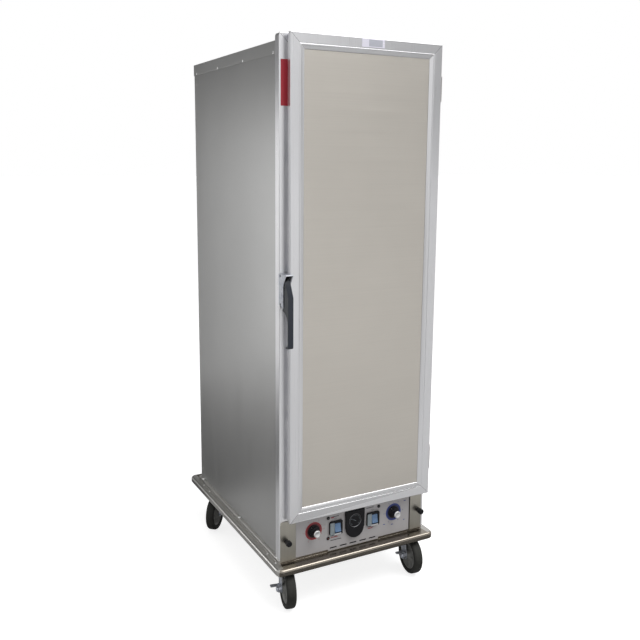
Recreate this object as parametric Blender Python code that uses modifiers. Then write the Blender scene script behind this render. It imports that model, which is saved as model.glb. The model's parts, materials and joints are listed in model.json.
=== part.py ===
"""Mobile proofing cabinet: sheet aluminium body on a bumper base with four swivel casters, one framed
door on the right-hand hinges, eighteen pairs of pan runners, and a heater module that slides out
below the door. Metres, +Z up, -Y to the front. The origin is on the floor, under the middle."""

import math

import bmesh
import bpy
from mathutils import Matrix, Vector

# ---- driving dimensions ----
GAP = 0.0003  # clearance between pieces that touch
HEIGHT = 1.764  # floor to the top of the door
DOOR_FRONT = -0.398  # plane of the door's front face
SHEET = 0.002  # body panels

BASE_HALF_WIDTH = 0.295
BASE_FRONT = -0.411
BASE_REAR = 0.431
BASE_TOP = 0.164
BASE_SKIRT = 0.035
BASE_SHEET = 0.003
BASE_CORNER = 0.028

BODY_HALF_WIDTH = 0.264
BODY_REAR = 0.378
ROOF_TOP = 1.7458
ROOF_FLANGE = 0.038

FRAME_HALF_WIDTH = 0.2725
FRAME_FACE = 0.040
FRAME_WALL = 0.0025
FRAME_FRONT = 0.028  # depths below are measured back from the door's front face
FRAME_BACK = 0.0557
CROSS_RAIL_BOTTOM = 0.2935

DOOR_LEFT = -0.2506
DOOR_RIGHT = 0.2736
DOOR_BOTTOM = 0.2932
DOOR_THICK = 0.0142
DOOR_STILE = 0.0459
DOOR_REBATE = 0.036
PANEL_DEPTH = 0.0048
PANEL_THICK = 0.003

HINGE_X = 0.282
HINGE_DEPTH = 0.020
HINGE_RADIUS = 0.0055
HINGE_PIN = 0.003
HINGE_LENGTH = 0.076
HINGE_HEIGHTS = {"lower": 0.420, "upper": 1.630}

TIERS = 18
TIER_PITCH = 0.0762
FIRST_LEDGE = 0.352
RUNNER_HALF_LENGTH = 0.333
LEDGE_INNER = 0.2065
LEG_INNER = 0.2325
UPRIGHTS = (-0.230, 0.230)

WHEEL_RADIUS = 0.0635
WHEEL_HALF_WIDTH = 0.016
WHEEL_STEPS = 26
CASTER_TRAIL = 0.038
CASTER_X = 0.234
CASTER_Y = {"front": -0.3285, "rear": 0.274}
CASTER_TURN = {"front_left": 12.0, "front_right": 6.0, "rear_left": 41.0, "rear_right": -41.0}
CASTER_LOAD_HEIGHT = 0.157
AXLE_RADIUS = 0.005
FORK_INNER = 0.0195
FORK_OUTER = 0.0225
FORK_TOP = 0.1437
CROWN_THICK = 0.005

MODULE_HALF_WIDTH = 0.2153
MODULE_FLOOR = 0.1645
MODULE_TOP = 0.2905
CHASSIS_TOP = 0.284
CHASSIS_BACK = 0.540
CHASSIS_SHEET = 0.0015
DIAL_X = 0.152
DIAL_Z = 0.238
ROCKER_X = 0.0705
ROCKER_SHIFT = 0.0040  # the button sits right of its bezel's middle
WINDOW_HALF = (0.0113, 0.0165)
ROCKER_Z = 0.233
ROCKER_OFF = 10.0
THUMB_X = 0.250
THUMB_Z = 0.227

BLOWER_X = 0.030
BLOWER_DEPTH = 0.442
BLOWER_Z = 0.2215
BLOWER_HALF_WIDTH = 0.030
CAGE_RADIUS = 0.042
CAGE_BLADES = 14

LATCH_X = (-0.2755, -0.2509)
HANDLE_X = (-0.2725, -0.2555)
LATCH_PIVOT = (-0.002, 1.0625)  # depth and height of the handle's pin

# ---- frames that turn a flat outline into a solid: local X, Y and thickness in world axes ----
FRONT_VIEW = Matrix(((1, 0, 0, 0), (0, 0, -1, 0), (0, 1, 0, 0), (0, 0, 0, 1)))
SIDE_VIEW = Matrix(((0, 0, 1, 0), (1, 0, 0, 0), (0, 1, 0, 0), (0, 0, 0, 1)))
PLAN_VIEW = Matrix.Identity(4)
ALONG_X = Matrix.Rotation(math.radians(90), 4, "Y")
ALONG_MINUS_Y = Matrix.Rotation(math.radians(90), 4, "X")


def deep(depth):
    """World y of a point this far behind the door's front face."""
    return DOOR_FRONT + depth


def clear_scene():
    for obj in list(bpy.data.objects):
        bpy.data.objects.remove(obj, do_unlink=True)


def new_collection(name):
    collection = bpy.data.collections.new(name)
    bpy.context.scene.collection.children.link(collection)
    return collection


def surface(name, colour, roughness, metallic):
    material = bpy.data.materials.new(name)
    material.use_nodes = True
    shader = material.node_tree.nodes["Principled BSDF"]
    shader.inputs["Base Color"].default_value = (*colour, 1.0)
    shader.inputs["Roughness"].default_value = roughness
    shader.inputs["Metallic"].default_value = metallic
    material.diffuse_color = (*colour, 1.0)
    return material


# ---- shapes ----
def arc(centre, radius, first, last, steps):
    """Points on an arc, from the angle first to the angle last, in degrees."""
    points = []
    for step in range(steps + 1):
        angle = math.radians(first + (last - first) * step / steps)
        points.append((centre[0] + radius * math.cos(angle), centre[1] + radius * math.sin(angle)))
    return points


def circle(centre, radius, steps):
    return arc(centre, radius, 0, 360, steps)[:-1]


def rectangle(left, right, bottom, top):
    return [(left, bottom), (right, bottom), (right, top), (left, top)]


def slot_outline(left, right, middle, half_height, steps=2):
    """A slot along local X with round ends."""
    right_end = arc((right - half_height, middle), half_height, -90, 90, steps)
    left_end = arc((left + half_height, middle), half_height, 90, 270, steps)
    return right_end + left_end


def rounded_rectangle(left, right, bottom, top, radius, steps):
    corners = (
        ((right - radius, bottom + radius), -90),
        ((right - radius, top - radius), 0),
        ((left + radius, top - radius), 90),
        ((left + radius, bottom + radius), 180),
    )
    points = []
    for centre, start in corners:
        points += arc(centre, radius, start, start + 90, steps)
    return points


def finish_mesh(mesh):
    """Welds a mesh's loose caps, turns its faces outwards and smooths its round faces."""
    bm = bmesh.new()
    bm.from_mesh(mesh)
    bmesh.ops.remove_doubles(bm, verts=bm.verts, dist=0.000005)
    bmesh.ops.dissolve_degenerate(bm, edges=bm.edges, dist=0.000001)
    bmesh.ops.recalc_face_normals(bm, faces=bm.faces)
    bm.to_mesh(mesh)
    bm.free()
    mesh.shade_smooth()
    mesh.set_sharp_from_angle(angle=math.radians(35))


def add_object(name, mesh, material, collection=None):
    obj = bpy.data.objects.new(name, mesh)
    (collection or PARTS).objects.link(obj)
    if material is not None:
        mesh.materials.clear()
        mesh.materials.append(material)
    return obj


def baked(obj):
    """Replaces an object by the mesh that its curve or modifiers make."""
    bpy.context.view_layer.update()
    evaluated = obj.evaluated_get(bpy.context.evaluated_depsgraph_get())
    mesh = bpy.data.meshes.new_from_object(evaluated)
    finish_mesh(mesh)
    name = obj.name
    collection = obj.users_collection[0]
    matrix = obj.matrix_world.copy()
    material = obj.active_material
    bpy.data.objects.remove(obj, do_unlink=True)
    mesh.transform(matrix)
    if matrix.determinant() < 0:
        mesh.flip_normals()
    mesh.name = name
    return add_object(name, mesh, material, collection)


def prism(name, outlines, start, end, view, material, collection=None):
    """A flat outline, with any holes as further outlines, made thick from start to end."""
    curve = bpy.data.curves.new(name, "CURVE")
    curve.dimensions = "2D"
    curve.fill_mode = "BOTH"
    curve.extrude = abs(end - start) / 2
    for outline in outlines:
        spline = curve.splines.new("POLY")
        spline.points.add(len(outline) - 1)
        for point, (across, up) in zip(spline.points, outline):
            point.co = (across, up, 0.0, 1.0)
        spline.use_cyclic_u = True
    obj = add_object(name, curve, material, collection)
    obj.matrix_world = view @ Matrix.Translation((0, 0, (start + end) / 2))
    return baked(obj)


def box(name, low, high, material, bevel=0.0, collection=None):
    bm = bmesh.new()
    bmesh.ops.create_cube(bm, size=1.0)
    size = [top - bottom for bottom, top in zip(low, high)]
    middle = [(top + bottom) / 2 for bottom, top in zip(low, high)]
    bmesh.ops.scale(bm, vec=size, verts=bm.verts)
    bmesh.ops.translate(bm, vec=middle, verts=bm.verts)
    if bevel:
        bmesh.ops.bevel(bm, geom=bm.edges, offset=bevel, segments=1, affect="EDGES", profile=0.5)
    mesh = bpy.data.meshes.new(name)
    bm.to_mesh(mesh)
    bm.free()
    finish_mesh(mesh)
    return add_object(name, mesh, material, collection)


def cylinder(name, radius, start, end, frame, material, steps=16, collection=None):
    """A cylinder along local Z from start to end, in the given frame."""
    bm = bmesh.new()
    bmesh.ops.create_cone(
        bm, cap_ends=True, segments=steps, radius1=radius, radius2=radius, depth=end - start
    )
    bmesh.ops.translate(bm, vec=(0, 0, (start + end) / 2), verts=bm.verts)
    bm.transform(frame)
    mesh = bpy.data.meshes.new(name)
    bm.to_mesh(mesh)
    bm.free()
    finish_mesh(mesh)
    return add_object(name, mesh, material, collection)


def turned(name, profile, steps, frame, material, closed=False, collection=None):
    """A profile of (radius, height) points turned about local Z, in the given frame."""
    mesh = bpy.data.meshes.new(name)
    edges = [(index, index + 1) for index in range(len(profile) - 1)]
    if closed:
        edges.append((len(profile) - 1, 0))
    mesh.from_pydata([(radius, 0.0, height) for radius, height in profile], edges, [])
    obj = add_object(name, mesh, material, collection)
    screw = obj.modifiers.new("turn", "SCREW")
    screw.axis = "Z"
    screw.steps = steps
    screw.render_steps = steps
    screw.use_merge_vertices = True
    screw.merge_threshold = 0.00001
    obj.matrix_world = frame
    return baked(obj)


def tube(name, points, radius, material, sides=2, collection=None):
    """A round bar along a run of points, with closed ends."""
    curve = bpy.data.curves.new(name, "CURVE")
    curve.dimensions = "3D"
    curve.bevel_depth = radius
    curve.bevel_resolution = sides
    curve.use_fill_caps = True
    spline = curve.splines.new("POLY")
    spline.points.add(len(points) - 1)
    for point, place in zip(spline.points, points):
        point.co = (*place, 1.0)
    return baked(add_object(name, curve, material, collection))


def loft(name, loops, ring, material, collection=None):
    """A skin over loops of equal length. A ring joins its last loop to its first, and any other
    skin is closed by a face on each end loop."""
    bm = bmesh.new()
    rows = [[bm.verts.new(point) for point in loop] for loop in loops]
    count = len(rows[0])
    pairs = list(zip(rows, rows[1:]))
    if ring:
        pairs.append((rows[-1], rows[0]))
    for lower, upper in pairs:
        for index in range(count):
            after = (index + 1) % count
            bm.faces.new((lower[index], lower[after], upper[after], upper[index]))
    if not ring:
        bm.faces.new(list(reversed(rows[0])))
        bm.faces.new(rows[-1])
    mesh = bpy.data.meshes.new(name)
    bm.to_mesh(mesh)
    bm.free()
    finish_mesh(mesh)
    return add_object(name, mesh, material, collection)


def combine(obj, other, operation, solver):
    """A Boolean of two meshes. The other one is used up."""
    modifier = obj.modifiers.new(operation.lower(), "BOOLEAN")
    modifier.operation = operation
    modifier.solver = solver
    modifier.object = other
    result = baked(obj)
    bpy.data.objects.remove(other, do_unlink=True)
    return result


def cut(obj, cutter, solver="EXACT"):
    return combine(obj, cutter, "DIFFERENCE", solver)


def weld(obj, other, solver="EXACT"):
    return combine(obj, other, "UNION", solver)


def joined(name, objects):
    """Several meshes as one object, as a tool for a Boolean."""
    bm = bmesh.new()
    for obj in objects:
        bm.from_mesh(obj.data)
        bpy.data.objects.remove(obj, do_unlink=True)
    mesh = bpy.data.meshes.new(name)
    bm.to_mesh(mesh)
    bm.free()
    return add_object(name, mesh, None, TOOLS)


def rectangle_loops(left, right, bottom, top, profile, radius, steps):
    """Loops around a rectangle in the front view, one for each (inset, depth) point of a profile."""
    loops = []
    for inset, depth in profile:
        corner = max(radius - inset, 0.0004)
        outline = rounded_rectangle(
            left + inset, right - inset, bottom + inset, top - inset, corner, steps
        )
        loops.append([(x, deep(depth), z) for x, z in outline])
    return loops


# ---- joints' own frames ----
def pivot(name, place, parent=None):
    """An empty on a joint's axis."""
    empty = bpy.data.objects.new(name, None)
    empty.empty_display_size = 0.05
    PARTS.objects.link(empty)
    empty.location = place
    hang(empty, parent)
    return empty


def hang(obj, parent):
    if parent is None:
        return
    bpy.context.view_layer.update()
    obj.parent = parent
    obj.matrix_parent_inverse = parent.matrix_world.inverted()


def seat(obj, origin, parent):
    """Moves an object's own origin to a point, and hangs it on the empty of its joint."""
    obj.data.transform(Matrix.Translation(-Vector(origin)))
    obj.location = origin
    hang(obj, parent)
    return obj


def sheet_tray(name, low, high, opened, material):
    """A box folded from sheet, left open on each side whose outward normal the test picks."""
    tray = box(name, low, high, material)
    bm = bmesh.new()
    bm.from_mesh(tray.data)
    open_sides = [face for face in bm.faces if opened(face.normal)]
    bmesh.ops.delete(bm, geom=open_sides, context="FACES")
    bm.to_mesh(tray.data)
    bm.free()
    shell = tray.modifiers.new("sheet", "SOLIDIFY")
    shell.thickness = CHASSIS_SHEET
    shell.offset = -1.0
    shell.use_even_offset = True
    return baked(tray)


# ---- base ----
def base_section():
    """Inset and height of the pressed base's edge, from its outer roll round to the inside."""
    low = BASE_TOP - BASE_SKIRT
    outside = [(0.012 - x, z) for x, z in arc((0.0, BASE_TOP - 0.012), 0.012, 90, 0, 4)]
    foot = [(0.008 - x, z) for x, z in arc((0.0, low + 0.008), 0.008, 0, -90, 3)]
    lip = [(0.016, low), (0.016, low + BASE_SHEET), (0.009, low + BASE_SHEET)]
    inside = [
        (BASE_SHEET, low + 0.009),
        (BASE_SHEET, BASE_TOP - 0.013),
        (0.013, BASE_TOP - BASE_SHEET),
    ]
    return outside + foot + lip + inside


def caster_channel(y):
    """A channel across the underside that stiffens the deck over one pair of casters."""
    half = 0.050
    wall = 0.003
    web = CASTER_LOAD_HEIGHT + GAP
    bottom = 0.144
    top = BASE_TOP - BASE_SHEET + 0.0005
    outline = [
        (y - half, bottom),
        (y - half + wall, bottom),
        (y - half + wall, web),
        (y + half - wall, web),
        (y + half - wall, bottom),
        (y + half, bottom),
        (y + half, top),
        (y - half, top),
    ]
    return prism("caster_channel", [outline], -0.270, 0.270, SIDE_VIEW, None, TOOLS)


def make_base():
    loops = []
    for inset, height in base_section():
        outline = rounded_rectangle(
            -BASE_HALF_WIDTH + inset,
            BASE_HALF_WIDTH - inset,
            BASE_FRONT + inset,
            BASE_REAR - inset,
            BASE_CORNER - inset,
            4,
        )
        loops.append([(x, y, height) for x, y in outline])
    base = loft("base_frame", loops, False, STEEL)
    for y in CASTER_Y.values():
        base = weld(base, caster_channel(y))
    return base


# ---- body ----
def make_side_panels():
    for name, side in (("left_side_panel", -1), ("right_side_panel", 1)):
        faces = sorted((side * BODY_HALF_WIDTH, side * (BODY_HALF_WIDTH - SHEET)))
        low = (faces[0], deep(FRAME_FRONT + FRAME_WALL + 0.0015), BASE_TOP + GAP)
        high = (faces[1], BODY_REAR - SHEET - GAP, ROOF_TOP - CHASSIS_SHEET - GAP)
        box(name, low, high, SATIN)


def make_back_panel():
    """A flat back with two shallow upright ribs pressed inwards, its top edge under the roof's flange."""
    outer = BODY_REAR
    inner = BODY_REAR - SHEET
    rib = 0.004
    outline = [(-BODY_HALF_WIDTH, inner), (-BODY_HALF_WIDTH, outer)]
    for middle in (-0.09, 0.09):
        outline += [(middle - 0.0168, outer), (middle - 0.0108, outer - rib)]
        outline += [(middle + 0.0108, outer - rib), (middle + 0.0168, outer)]
    outline += [(BODY_HALF_WIDTH, outer), (BODY_HALF_WIDTH, inner)]
    for middle in (0.09, -0.09):
        outline += [(middle + 0.016, inner), (middle + 0.010, inner - rib)]
        outline += [(middle - 0.010, inner - rib), (middle - 0.016, inner)]
    top = ROOF_TOP - CHASSIS_SHEET - GAP
    prism("back_panel", [outline], BASE_TOP + GAP, top, PLAN_VIEW, SATIN)


def make_roof_panel():
    """A shallow tray upside down: its flanges fold down over both sides and the back."""
    half = BODY_HALF_WIDTH + GAP + CHASSIS_SHEET
    low = (-half, deep(FRAME_FRONT + FRAME_WALL + 0.0015), ROOF_TOP - ROOF_FLANGE)
    high = (half, BODY_REAR + GAP + CHASSIS_SHEET, ROOF_TOP)
    sheet_tray("roof_panel", low, high, lambda normal: normal.z < -0.5 or normal.y < -0.5, SATIN)


def make_rear_posts():
    """Angles inside the rear corners, which the side and back panels are riveted to."""
    for name, side in (("left_rear_post", -1), ("right_rear_post", 1)):
        outer = BODY_HALF_WIDTH - SHEET - GAP
        rear = BODY_REAR - SHEET - GAP
        leg = 0.025
        outline = [
            (outer, rear),
            (outer - leg, rear),
            (outer - leg, rear - SHEET),
            (outer - SHEET, rear - SHEET),
            (outer - SHEET, rear - leg),
            (outer, rear - leg),
        ]
        outline = [(side * x, y) for x, y in outline]
        top = ROOF_TOP - CHASSIS_SHEET - GAP
        prism(name, [outline], BASE_TOP + GAP, top, PLAN_VIEW, SATIN)


def frame_section():
    """Inset and depth of the front frame's channel, which is open to the back."""
    back = FRAME_BACK
    front = FRAME_FRONT
    wall = FRAME_WALL
    return [
        (0.0, back),
        (0.0, front + 0.002),
        (0.002, front),
        (FRAME_FACE - 0.0015, front),
        (FRAME_FACE, front + 0.0015),
        (FRAME_FACE, back),
        (FRAME_FACE - wall, back),
        (FRAME_FACE - wall, front + wall),
        (wall, front + wall),
        (wall, back),
    ]


def make_front_frame():
    """Two stiles that stand on the base, mitred to a top rail, and a rail below the door opening."""
    radius = 0.009
    section = frame_section()
    stations = []
    for step in range(8):
        station = []
        for inset, depth in section:
            corner = max(radius - inset, 0.0004)
            half = FRAME_HALF_WIDTH - inset
            top = HEIGHT - inset
            bottom = BASE_TOP + GAP
            left = arc((-half + corner, top - corner), corner, 180, 90, 2)
            right = arc((half - corner, top - corner), corner, 90, 0, 2)
            route = [(-half, bottom)] + left + right + [(half, bottom)]
            x, z = route[step]
            station.append((x, deep(depth), z))
        stations.append(station)
    frame = loft("front_frame", stations, False, BRIGHT)
    front = FRAME_FRONT + 0.0001
    back = FRAME_BACK - 0.0001
    wall = FRAME_WALL
    low = CROSS_RAIL_BOTTOM
    high = low + FRAME_FACE
    rail = [
        (deep(back), low),
        (deep(front), low),
        (deep(front), high),
        (deep(back), high),
        (deep(back), high - wall),
        (deep(front + wall), high - wall),
        (deep(front + wall), low + wall),
        (deep(back), low + wall),
    ]
    reach = FRAME_HALF_WIDTH - FRAME_FACE + 0.0012
    weld(frame, prism("cross_rail", [rail], -reach, reach, SIDE_VIEW, None, TOOLS))


# ---- pan runners ----
def upright_outline(side, y):
    """A hat section whose web faces the pans and whose feet lie on the side panel."""
    web = LEG_INNER + 0.002
    foot = BODY_HALF_WIDTH - SHEET - GAP
    half = 0.0125
    brim = 0.0225
    outline = [
        (web, y - half),
        (web, y + half),
        (foot - SHEET, y + half),
        (foot - SHEET, y + brim),
        (foot, y + brim),
        (foot, y + half - SHEET),
        (web + SHEET, y + half - SHEET),
        (web + SHEET, y - half + SHEET),
        (foot, y - half + SHEET),
        (foot, y - brim),
        (foot - SHEET, y - brim),
        (foot - SHEET, y - half),
    ]
    return [(side * x, point_y) for x, point_y in outline]


def runner_outline(side, ledge):
    """An angle: a ledge under the pan's edge and a leg beside it."""
    back = LEG_INNER + 0.0025
    outline = [
        (LEDGE_INNER, ledge - SHEET),
        (back, ledge - SHEET),
        (back, ledge + 0.018),
        (LEG_INNER, ledge + 0.018),
        (LEG_INNER, ledge),
        (LEDGE_INNER, ledge),
    ]
    return [(side * x, z) for x, z in outline]


def make_pan_slides():
    for name, side in (("left_pan_slides", -1), ("right_pan_slides", 1)):
        low = FIRST_LEDGE - 0.014
        high = FIRST_LEDGE + TIER_PITCH * (TIERS - 1) + 0.040
        uprights = [
            prism("upright", [upright_outline(side, y)], low, high, PLAN_VIEW, None, TOOLS)
            for y in UPRIGHTS
        ]
        runners = []
        for tier in range(TIERS):
            outline = runner_outline(side, FIRST_LEDGE + TIER_PITCH * tier)
            length = RUNNER_HALF_LENGTH
            runners.append(prism("runner", [outline], -length, length, FRONT_VIEW, None, TOOLS))
        rack = weld(joined("uprights", uprights), joined("runners", runners))
        rack.name = name
        rack.data.materials.append(SATIN)
        PARTS.objects.link(rack)
        TOOLS.objects.unlink(rack)


# ---- hinges ----
def leaf_plate(face, knuckle_side, near, far, low, high):
    """A flat strip of a hinge leaf in plan, from the depth near to the depth far."""
    outline = rectangle(face, knuckle_side, deep(near), deep(far))
    return prism("leaf", [outline], low, high, PLAN_VIEW, None, TOOLS)


def knuckle(low, high, bore):
    frame = Matrix.Translation((HINGE_X, deep(HINGE_DEPTH), 0))
    outer = circle((0, 0), HINGE_RADIUS, 12)
    outlines = [outer] if bore is None else [outer, circle((0, 0), bore, 12)]
    return prism("knuckle", outlines, low, high, frame, None, TOOLS)


def make_hinges(door):
    for level, middle in HINGE_HEIGHTS.items():
        low = middle - HINGE_LENGTH / 2
        high = middle + HINGE_LENGTH / 2
        third = HINGE_LENGTH / 3
        frame_face = FRAME_HALF_WIDTH + GAP
        reach = HINGE_X - HINGE_RADIUS + 0.0015
        leaf = leaf_plate(frame_face, frame_face + 0.002, 0.030, 0.0552, low, high)
        for start, end in ((low, low + third), (high - third, high)):
            leaf = weld(leaf, leaf_plate(frame_face, reach, 0.0195, 0.0305, start, end))
            leaf = weld(leaf, knuckle(start, end, None))
        frame = Matrix.Translation((HINGE_X, deep(HINGE_DEPTH), 0))
        start = low + third / 2
        end = high - third / 2
        leaf = weld(leaf, cylinder("pin", HINGE_PIN, start, end, frame, None, 8, TOOLS))
        adopt(leaf, level + "_hinge_frame_leaf", STEEL)

        door_face = DOOR_RIGHT + GAP
        start = low + third + GAP
        end = high - third - GAP
        leaf = leaf_plate(door_face, door_face + 0.002, 0.0012, 0.0130, low, high)
        leaf = weld(leaf, leaf_plate(door_face + 0.0002, reach, 0.0100, 0.0190, start, end))
        leaf = weld(leaf, knuckle(start, end, None))
        bore = cylinder("bore", HINGE_PIN + GAP, start - 0.01, end + 0.01, frame, None, 8, TOOLS)
        leaf = adopt(cut(leaf, bore), level + "_hinge_door_leaf", STEEL)
        seat(leaf, door.location, door)


def adopt(obj, name, material):
    """Turns a finished working solid into a part."""
    obj.name = name
    obj.data.name = name
    obj.data.materials.clear()
    obj.data.materials.append(material)
    if obj.name not in PARTS.objects:
        PARTS.objects.link(obj)
        TOOLS.objects.unlink(obj)
    return obj


# ---- door ----
def door_section():
    """Inset and depth of the door's extrusion: flat face, raised bead, and a rebate for the panel."""
    return [
        (0.0, DOOR_THICK),
        (0.0, 0.0015),
        (0.0015, 0.0),
        (0.0290, 0.0),
        (0.0300, 0.0010),
        (0.0320, 0.0),
        (0.0345, 0.0),
        (DOOR_STILE - 0.001, 0.0034),
        (DOOR_STILE, PANEL_DEPTH - GAP),
        (DOOR_REBATE, PANEL_DEPTH - GAP),
        (DOOR_REBATE, DOOR_THICK),
        (DOOR_REBATE - 0.0025, DOOR_THICK),
        (DOOR_REBATE - 0.0025, 0.0030),
        (0.0175, 0.0030),
        (0.0175, DOOR_THICK),
    ]


def gasket_section():
    """Inset and depth of the magnetic gasket, with a fold in its waist."""
    front = DOOR_THICK + GAP
    back = FRAME_FRONT - GAP
    waist = (front + back) / 2
    return [
        (0.005, front),
        (0.015, front),
        (0.015, waist - 0.0025),
        (0.0125, waist),
        (0.015, waist + 0.0025),
        (0.0145, back),
        (0.0055, back),
        (0.005, waist + 0.0025),
        (0.0075, waist),
        (0.005, waist - 0.0025),
    ]


def make_door(door):
    edges = (DOOR_LEFT, DOOR_RIGHT, DOOR_BOTTOM, HEIGHT)
    frame = loft("door_frame", rectangle_loops(*edges, door_section(), 0.003, 2), True, BRIGHT)
    gasket = loft("door_gasket", rectangle_loops(*edges, gasket_section(), 0.006, 1), True, RUBBER)
    inset = DOOR_REBATE + GAP
    low = (DOOR_LEFT + inset, deep(PANEL_DEPTH), DOOR_BOTTOM + inset)
    high = (DOOR_RIGHT - inset, deep(PANEL_DEPTH + PANEL_THICK), HEIGHT - inset)
    panel = box("door_panel", low, high, WARM)
    for piece in (frame, gasket, panel):
        seat(piece, door.location, door)


# ---- latch ----
def latch_body_outline():
    """The housing from the side: a sloping foot, a straight back and a hood over the handle."""
    return [
        (deep(0.0262), 0.984),
        (deep(0.0262), 1.0785),
        (deep(-0.0215), 1.0785),
        (deep(-0.0225), 1.0755),
        (deep(-0.0105), 1.0560),
        (deep(-0.0040), 1.0450),
        (deep(-0.0040), 0.978),
    ]


def handle_outline():
    """The lever from the side: pivot boss, sloping head, straight grip and a hooked tip."""
    depth, height = LATCH_PIVOT
    boss = arc((deep(depth), height), 0.0065, 20, 150, 4)
    grip = [(deep(-0.033), 1.012), (deep(-0.033), 0.866)]
    tip = [(deep(-0.031), 0.861), (deep(-0.015), 0.8595), (deep(-0.0145), 0.8635)]
    back = [(deep(-0.0270), 0.8690), (deep(-0.0285), 0.8740), (deep(-0.0285), 0.9300)]
    wedge = arc((deep(0.008), 0.9330), 0.0360, 165, 93, 4)
    return boss + grip + tip + back + wedge + [(deep(0.0058), 1.045)]


def make_latch(door, handle):
    pivot_frame = Matrix.Translation((0, deep(LATCH_PIVOT[0]), LATCH_PIVOT[1])) @ ALONG_X
    body = prism("latch_body", [latch_body_outline()], *LATCH_X, SIDE_VIEW, BRIGHT)
    low = (HANDLE_X[0] - 0.0005, deep(-0.060), 0.940)
    high = (HANDLE_X[1] + 0.0005, deep(0.0130), 1.0745)
    body = cut(body, box("handle_slot", low, high, None, 0.0, TOOLS))
    pin = cylinder("pin", 0.002, LATCH_X[0] + 0.001, LATCH_X[1] - 0.001, pivot_frame, None, 12, TOOLS)
    body = weld(body, pin)
    seat(body, door.location, door)

    lever = prism("latch_handle", [handle_outline()], *HANDLE_X, SIDE_VIEW, BLACK)
    hole = cylinder("hole", 0.0023, LATCH_X[0], LATCH_X[1], pivot_frame, None, 12, TOOLS)
    seat(cut(lever, hole), handle.location, handle)

    outline = rounded_rectangle(-0.2700, -0.2530, 0.990, 1.070, 0.003, 2)
    prism("latch_strike", [outline], -deep(0.0277), -deep(0.0266), FRONT_VIEW, STEEL)


# ---- heater module ----
def make_chassis(module):
    """A folded tray, open at the top and at the control panel."""
    half = MODULE_HALF_WIDTH - GAP
    low = (-half, deep(0.0303), MODULE_FLOOR)
    high = (half, deep(CHASSIS_BACK), CHASSIS_TOP)
    tray = sheet_tray(
        "module_chassis", low, high, lambda normal: normal.z > 0.5 or normal.y < -0.5, SATIN
    )
    seat(tray, module.location, module)


def switch_window(side):
    """The opening that a rocker switch snaps into."""
    centre = side * ROCKER_X + ROCKER_SHIFT
    width, height = WINDOW_HALF
    return rectangle(centre - width, centre + width, ROCKER_Z - height, ROCKER_Z + height)


def make_control_panel(module):
    """The front plate: a toe over the base's ledge, two rows of air slots, two thermostats behind."""
    half = MODULE_HALF_WIDTH
    toe_left = -0.098
    toe_right = 0.093
    raised = MODULE_FLOOR + 0.0025
    outline = [
        (-half, raised),
        (toe_left, raised),
        (toe_left, MODULE_FLOOR),
        (toe_right, MODULE_FLOOR),
        (toe_right, raised),
        (half, raised),
        (half, MODULE_TOP),
        (-half, MODULE_TOP),
    ]
    pitch = 0.0372
    first = -0.0925
    slots = [
        slot_outline(first + pitch * index, first + pitch * index + 0.027, 0.1695, 0.0017)
        for index in range(5)
    ]
    shafts = [circle((side * DIAL_X, DIAL_Z), 0.0036, 12) for side in (-1, 1)]
    front = FRAME_FRONT
    windows = [switch_window(side) for side in (-1, 1)]
    plate = prism(
        "control_panel", [outline] + slots + shafts + windows, -deep(front + 0.002), -deep(front),
        FRONT_VIEW, OVERLAY,
    )
    toe = rectangle(toe_left + 0.0005, toe_right - 0.0005, deep(-0.0005), deep(front + 0.0008))
    toe_slots = [
        slot_outline(first + pitch * index, first + pitch * index + 0.027, deep(0.0060), 0.0017)
        for index in range(5)
    ]
    thick = 0.0015
    toe_plate = prism(
        "toe", [toe] + toe_slots, MODULE_FLOOR + 0.0002, MODULE_FLOOR + thick, PLAN_VIEW, None, TOOLS
    )
    plate = weld(plate, toe_plate, "MANIFOLD")
    for side in (-1, 1):
        frame = Matrix.Translation((side * DIAL_X, 0, DIAL_Z)) @ ALONG_MINUS_Y
        back = -deep(front + 0.0015)
        thermostat = cylinder("thermostat", 0.019, -deep(0.062), back, frame, None, 16, TOOLS)
        plate = weld(plate, thermostat, "MANIFOLD")
        socket = cylinder("socket", 0.0036, -deep(0.044), -deep(0.020), frame, None, 12, TOOLS)
        plate = cut(plate, socket, "MANIFOLD")
    seat(plate, module.location, module)


def make_control_box(module):
    """A cover over the wiring, open towards the control panel."""
    half = MODULE_HALF_WIDTH - GAP - CHASSIS_SHEET - GAP
    low = (-half, deep(0.0323), MODULE_FLOOR + CHASSIS_SHEET + GAP)
    high = (half, deep(0.128), CHASSIS_TOP - 0.001)
    cover = sheet_tray("control_box", low, high, lambda normal: normal.y < -0.5, SATIN)
    seat(cover, module.location, module)


def make_brackets(module):
    """Angles on the module's sides. Each one's face lies on a stile and takes a thumbscrew."""
    places = (("left_bracket", -0.2707, -0.2174, -1), ("right_bracket", 0.2228, 0.2546, 1))
    front = FRAME_FRONT - GAP - 0.003
    back = FRAME_FRONT - GAP
    for name, left, right, side in places:
        face = [(left, MODULE_FLOOR), (right, MODULE_FLOOR)]
        face += arc((right - 0.010, 0.2825), 0.010, 0, 90, 3)
        face += arc((left + 0.010, 0.2825), 0.010, 90, 180, 3)
        hole = circle((side * THUMB_X, THUMB_Z), 0.0036, 12)
        plate = prism(name, [face, hole], -deep(back), -deep(front), FRONT_VIEW, OLIVE)
        inner = right if side < 0 else left
        wall = sorted((inner, inner + side * 0.002))
        low = (wall[0], deep(front + 0.0005), MODULE_FLOOR)
        high = (wall[1], deep(0.085), 0.272)
        plate = weld(plate, box("flange", low, high, None, 0.0, TOOLS))
        foot = sorted((side * (MODULE_HALF_WIDTH + GAP), inner + side * 0.001))
        low = (foot[0], deep(0.060), 0.180)
        high = (foot[1], deep(0.080), 0.262)
        plate = weld(plate, box("spacer", low, high, None, 0.0, TOOLS))
        seat(plate, module.location, module)


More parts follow.
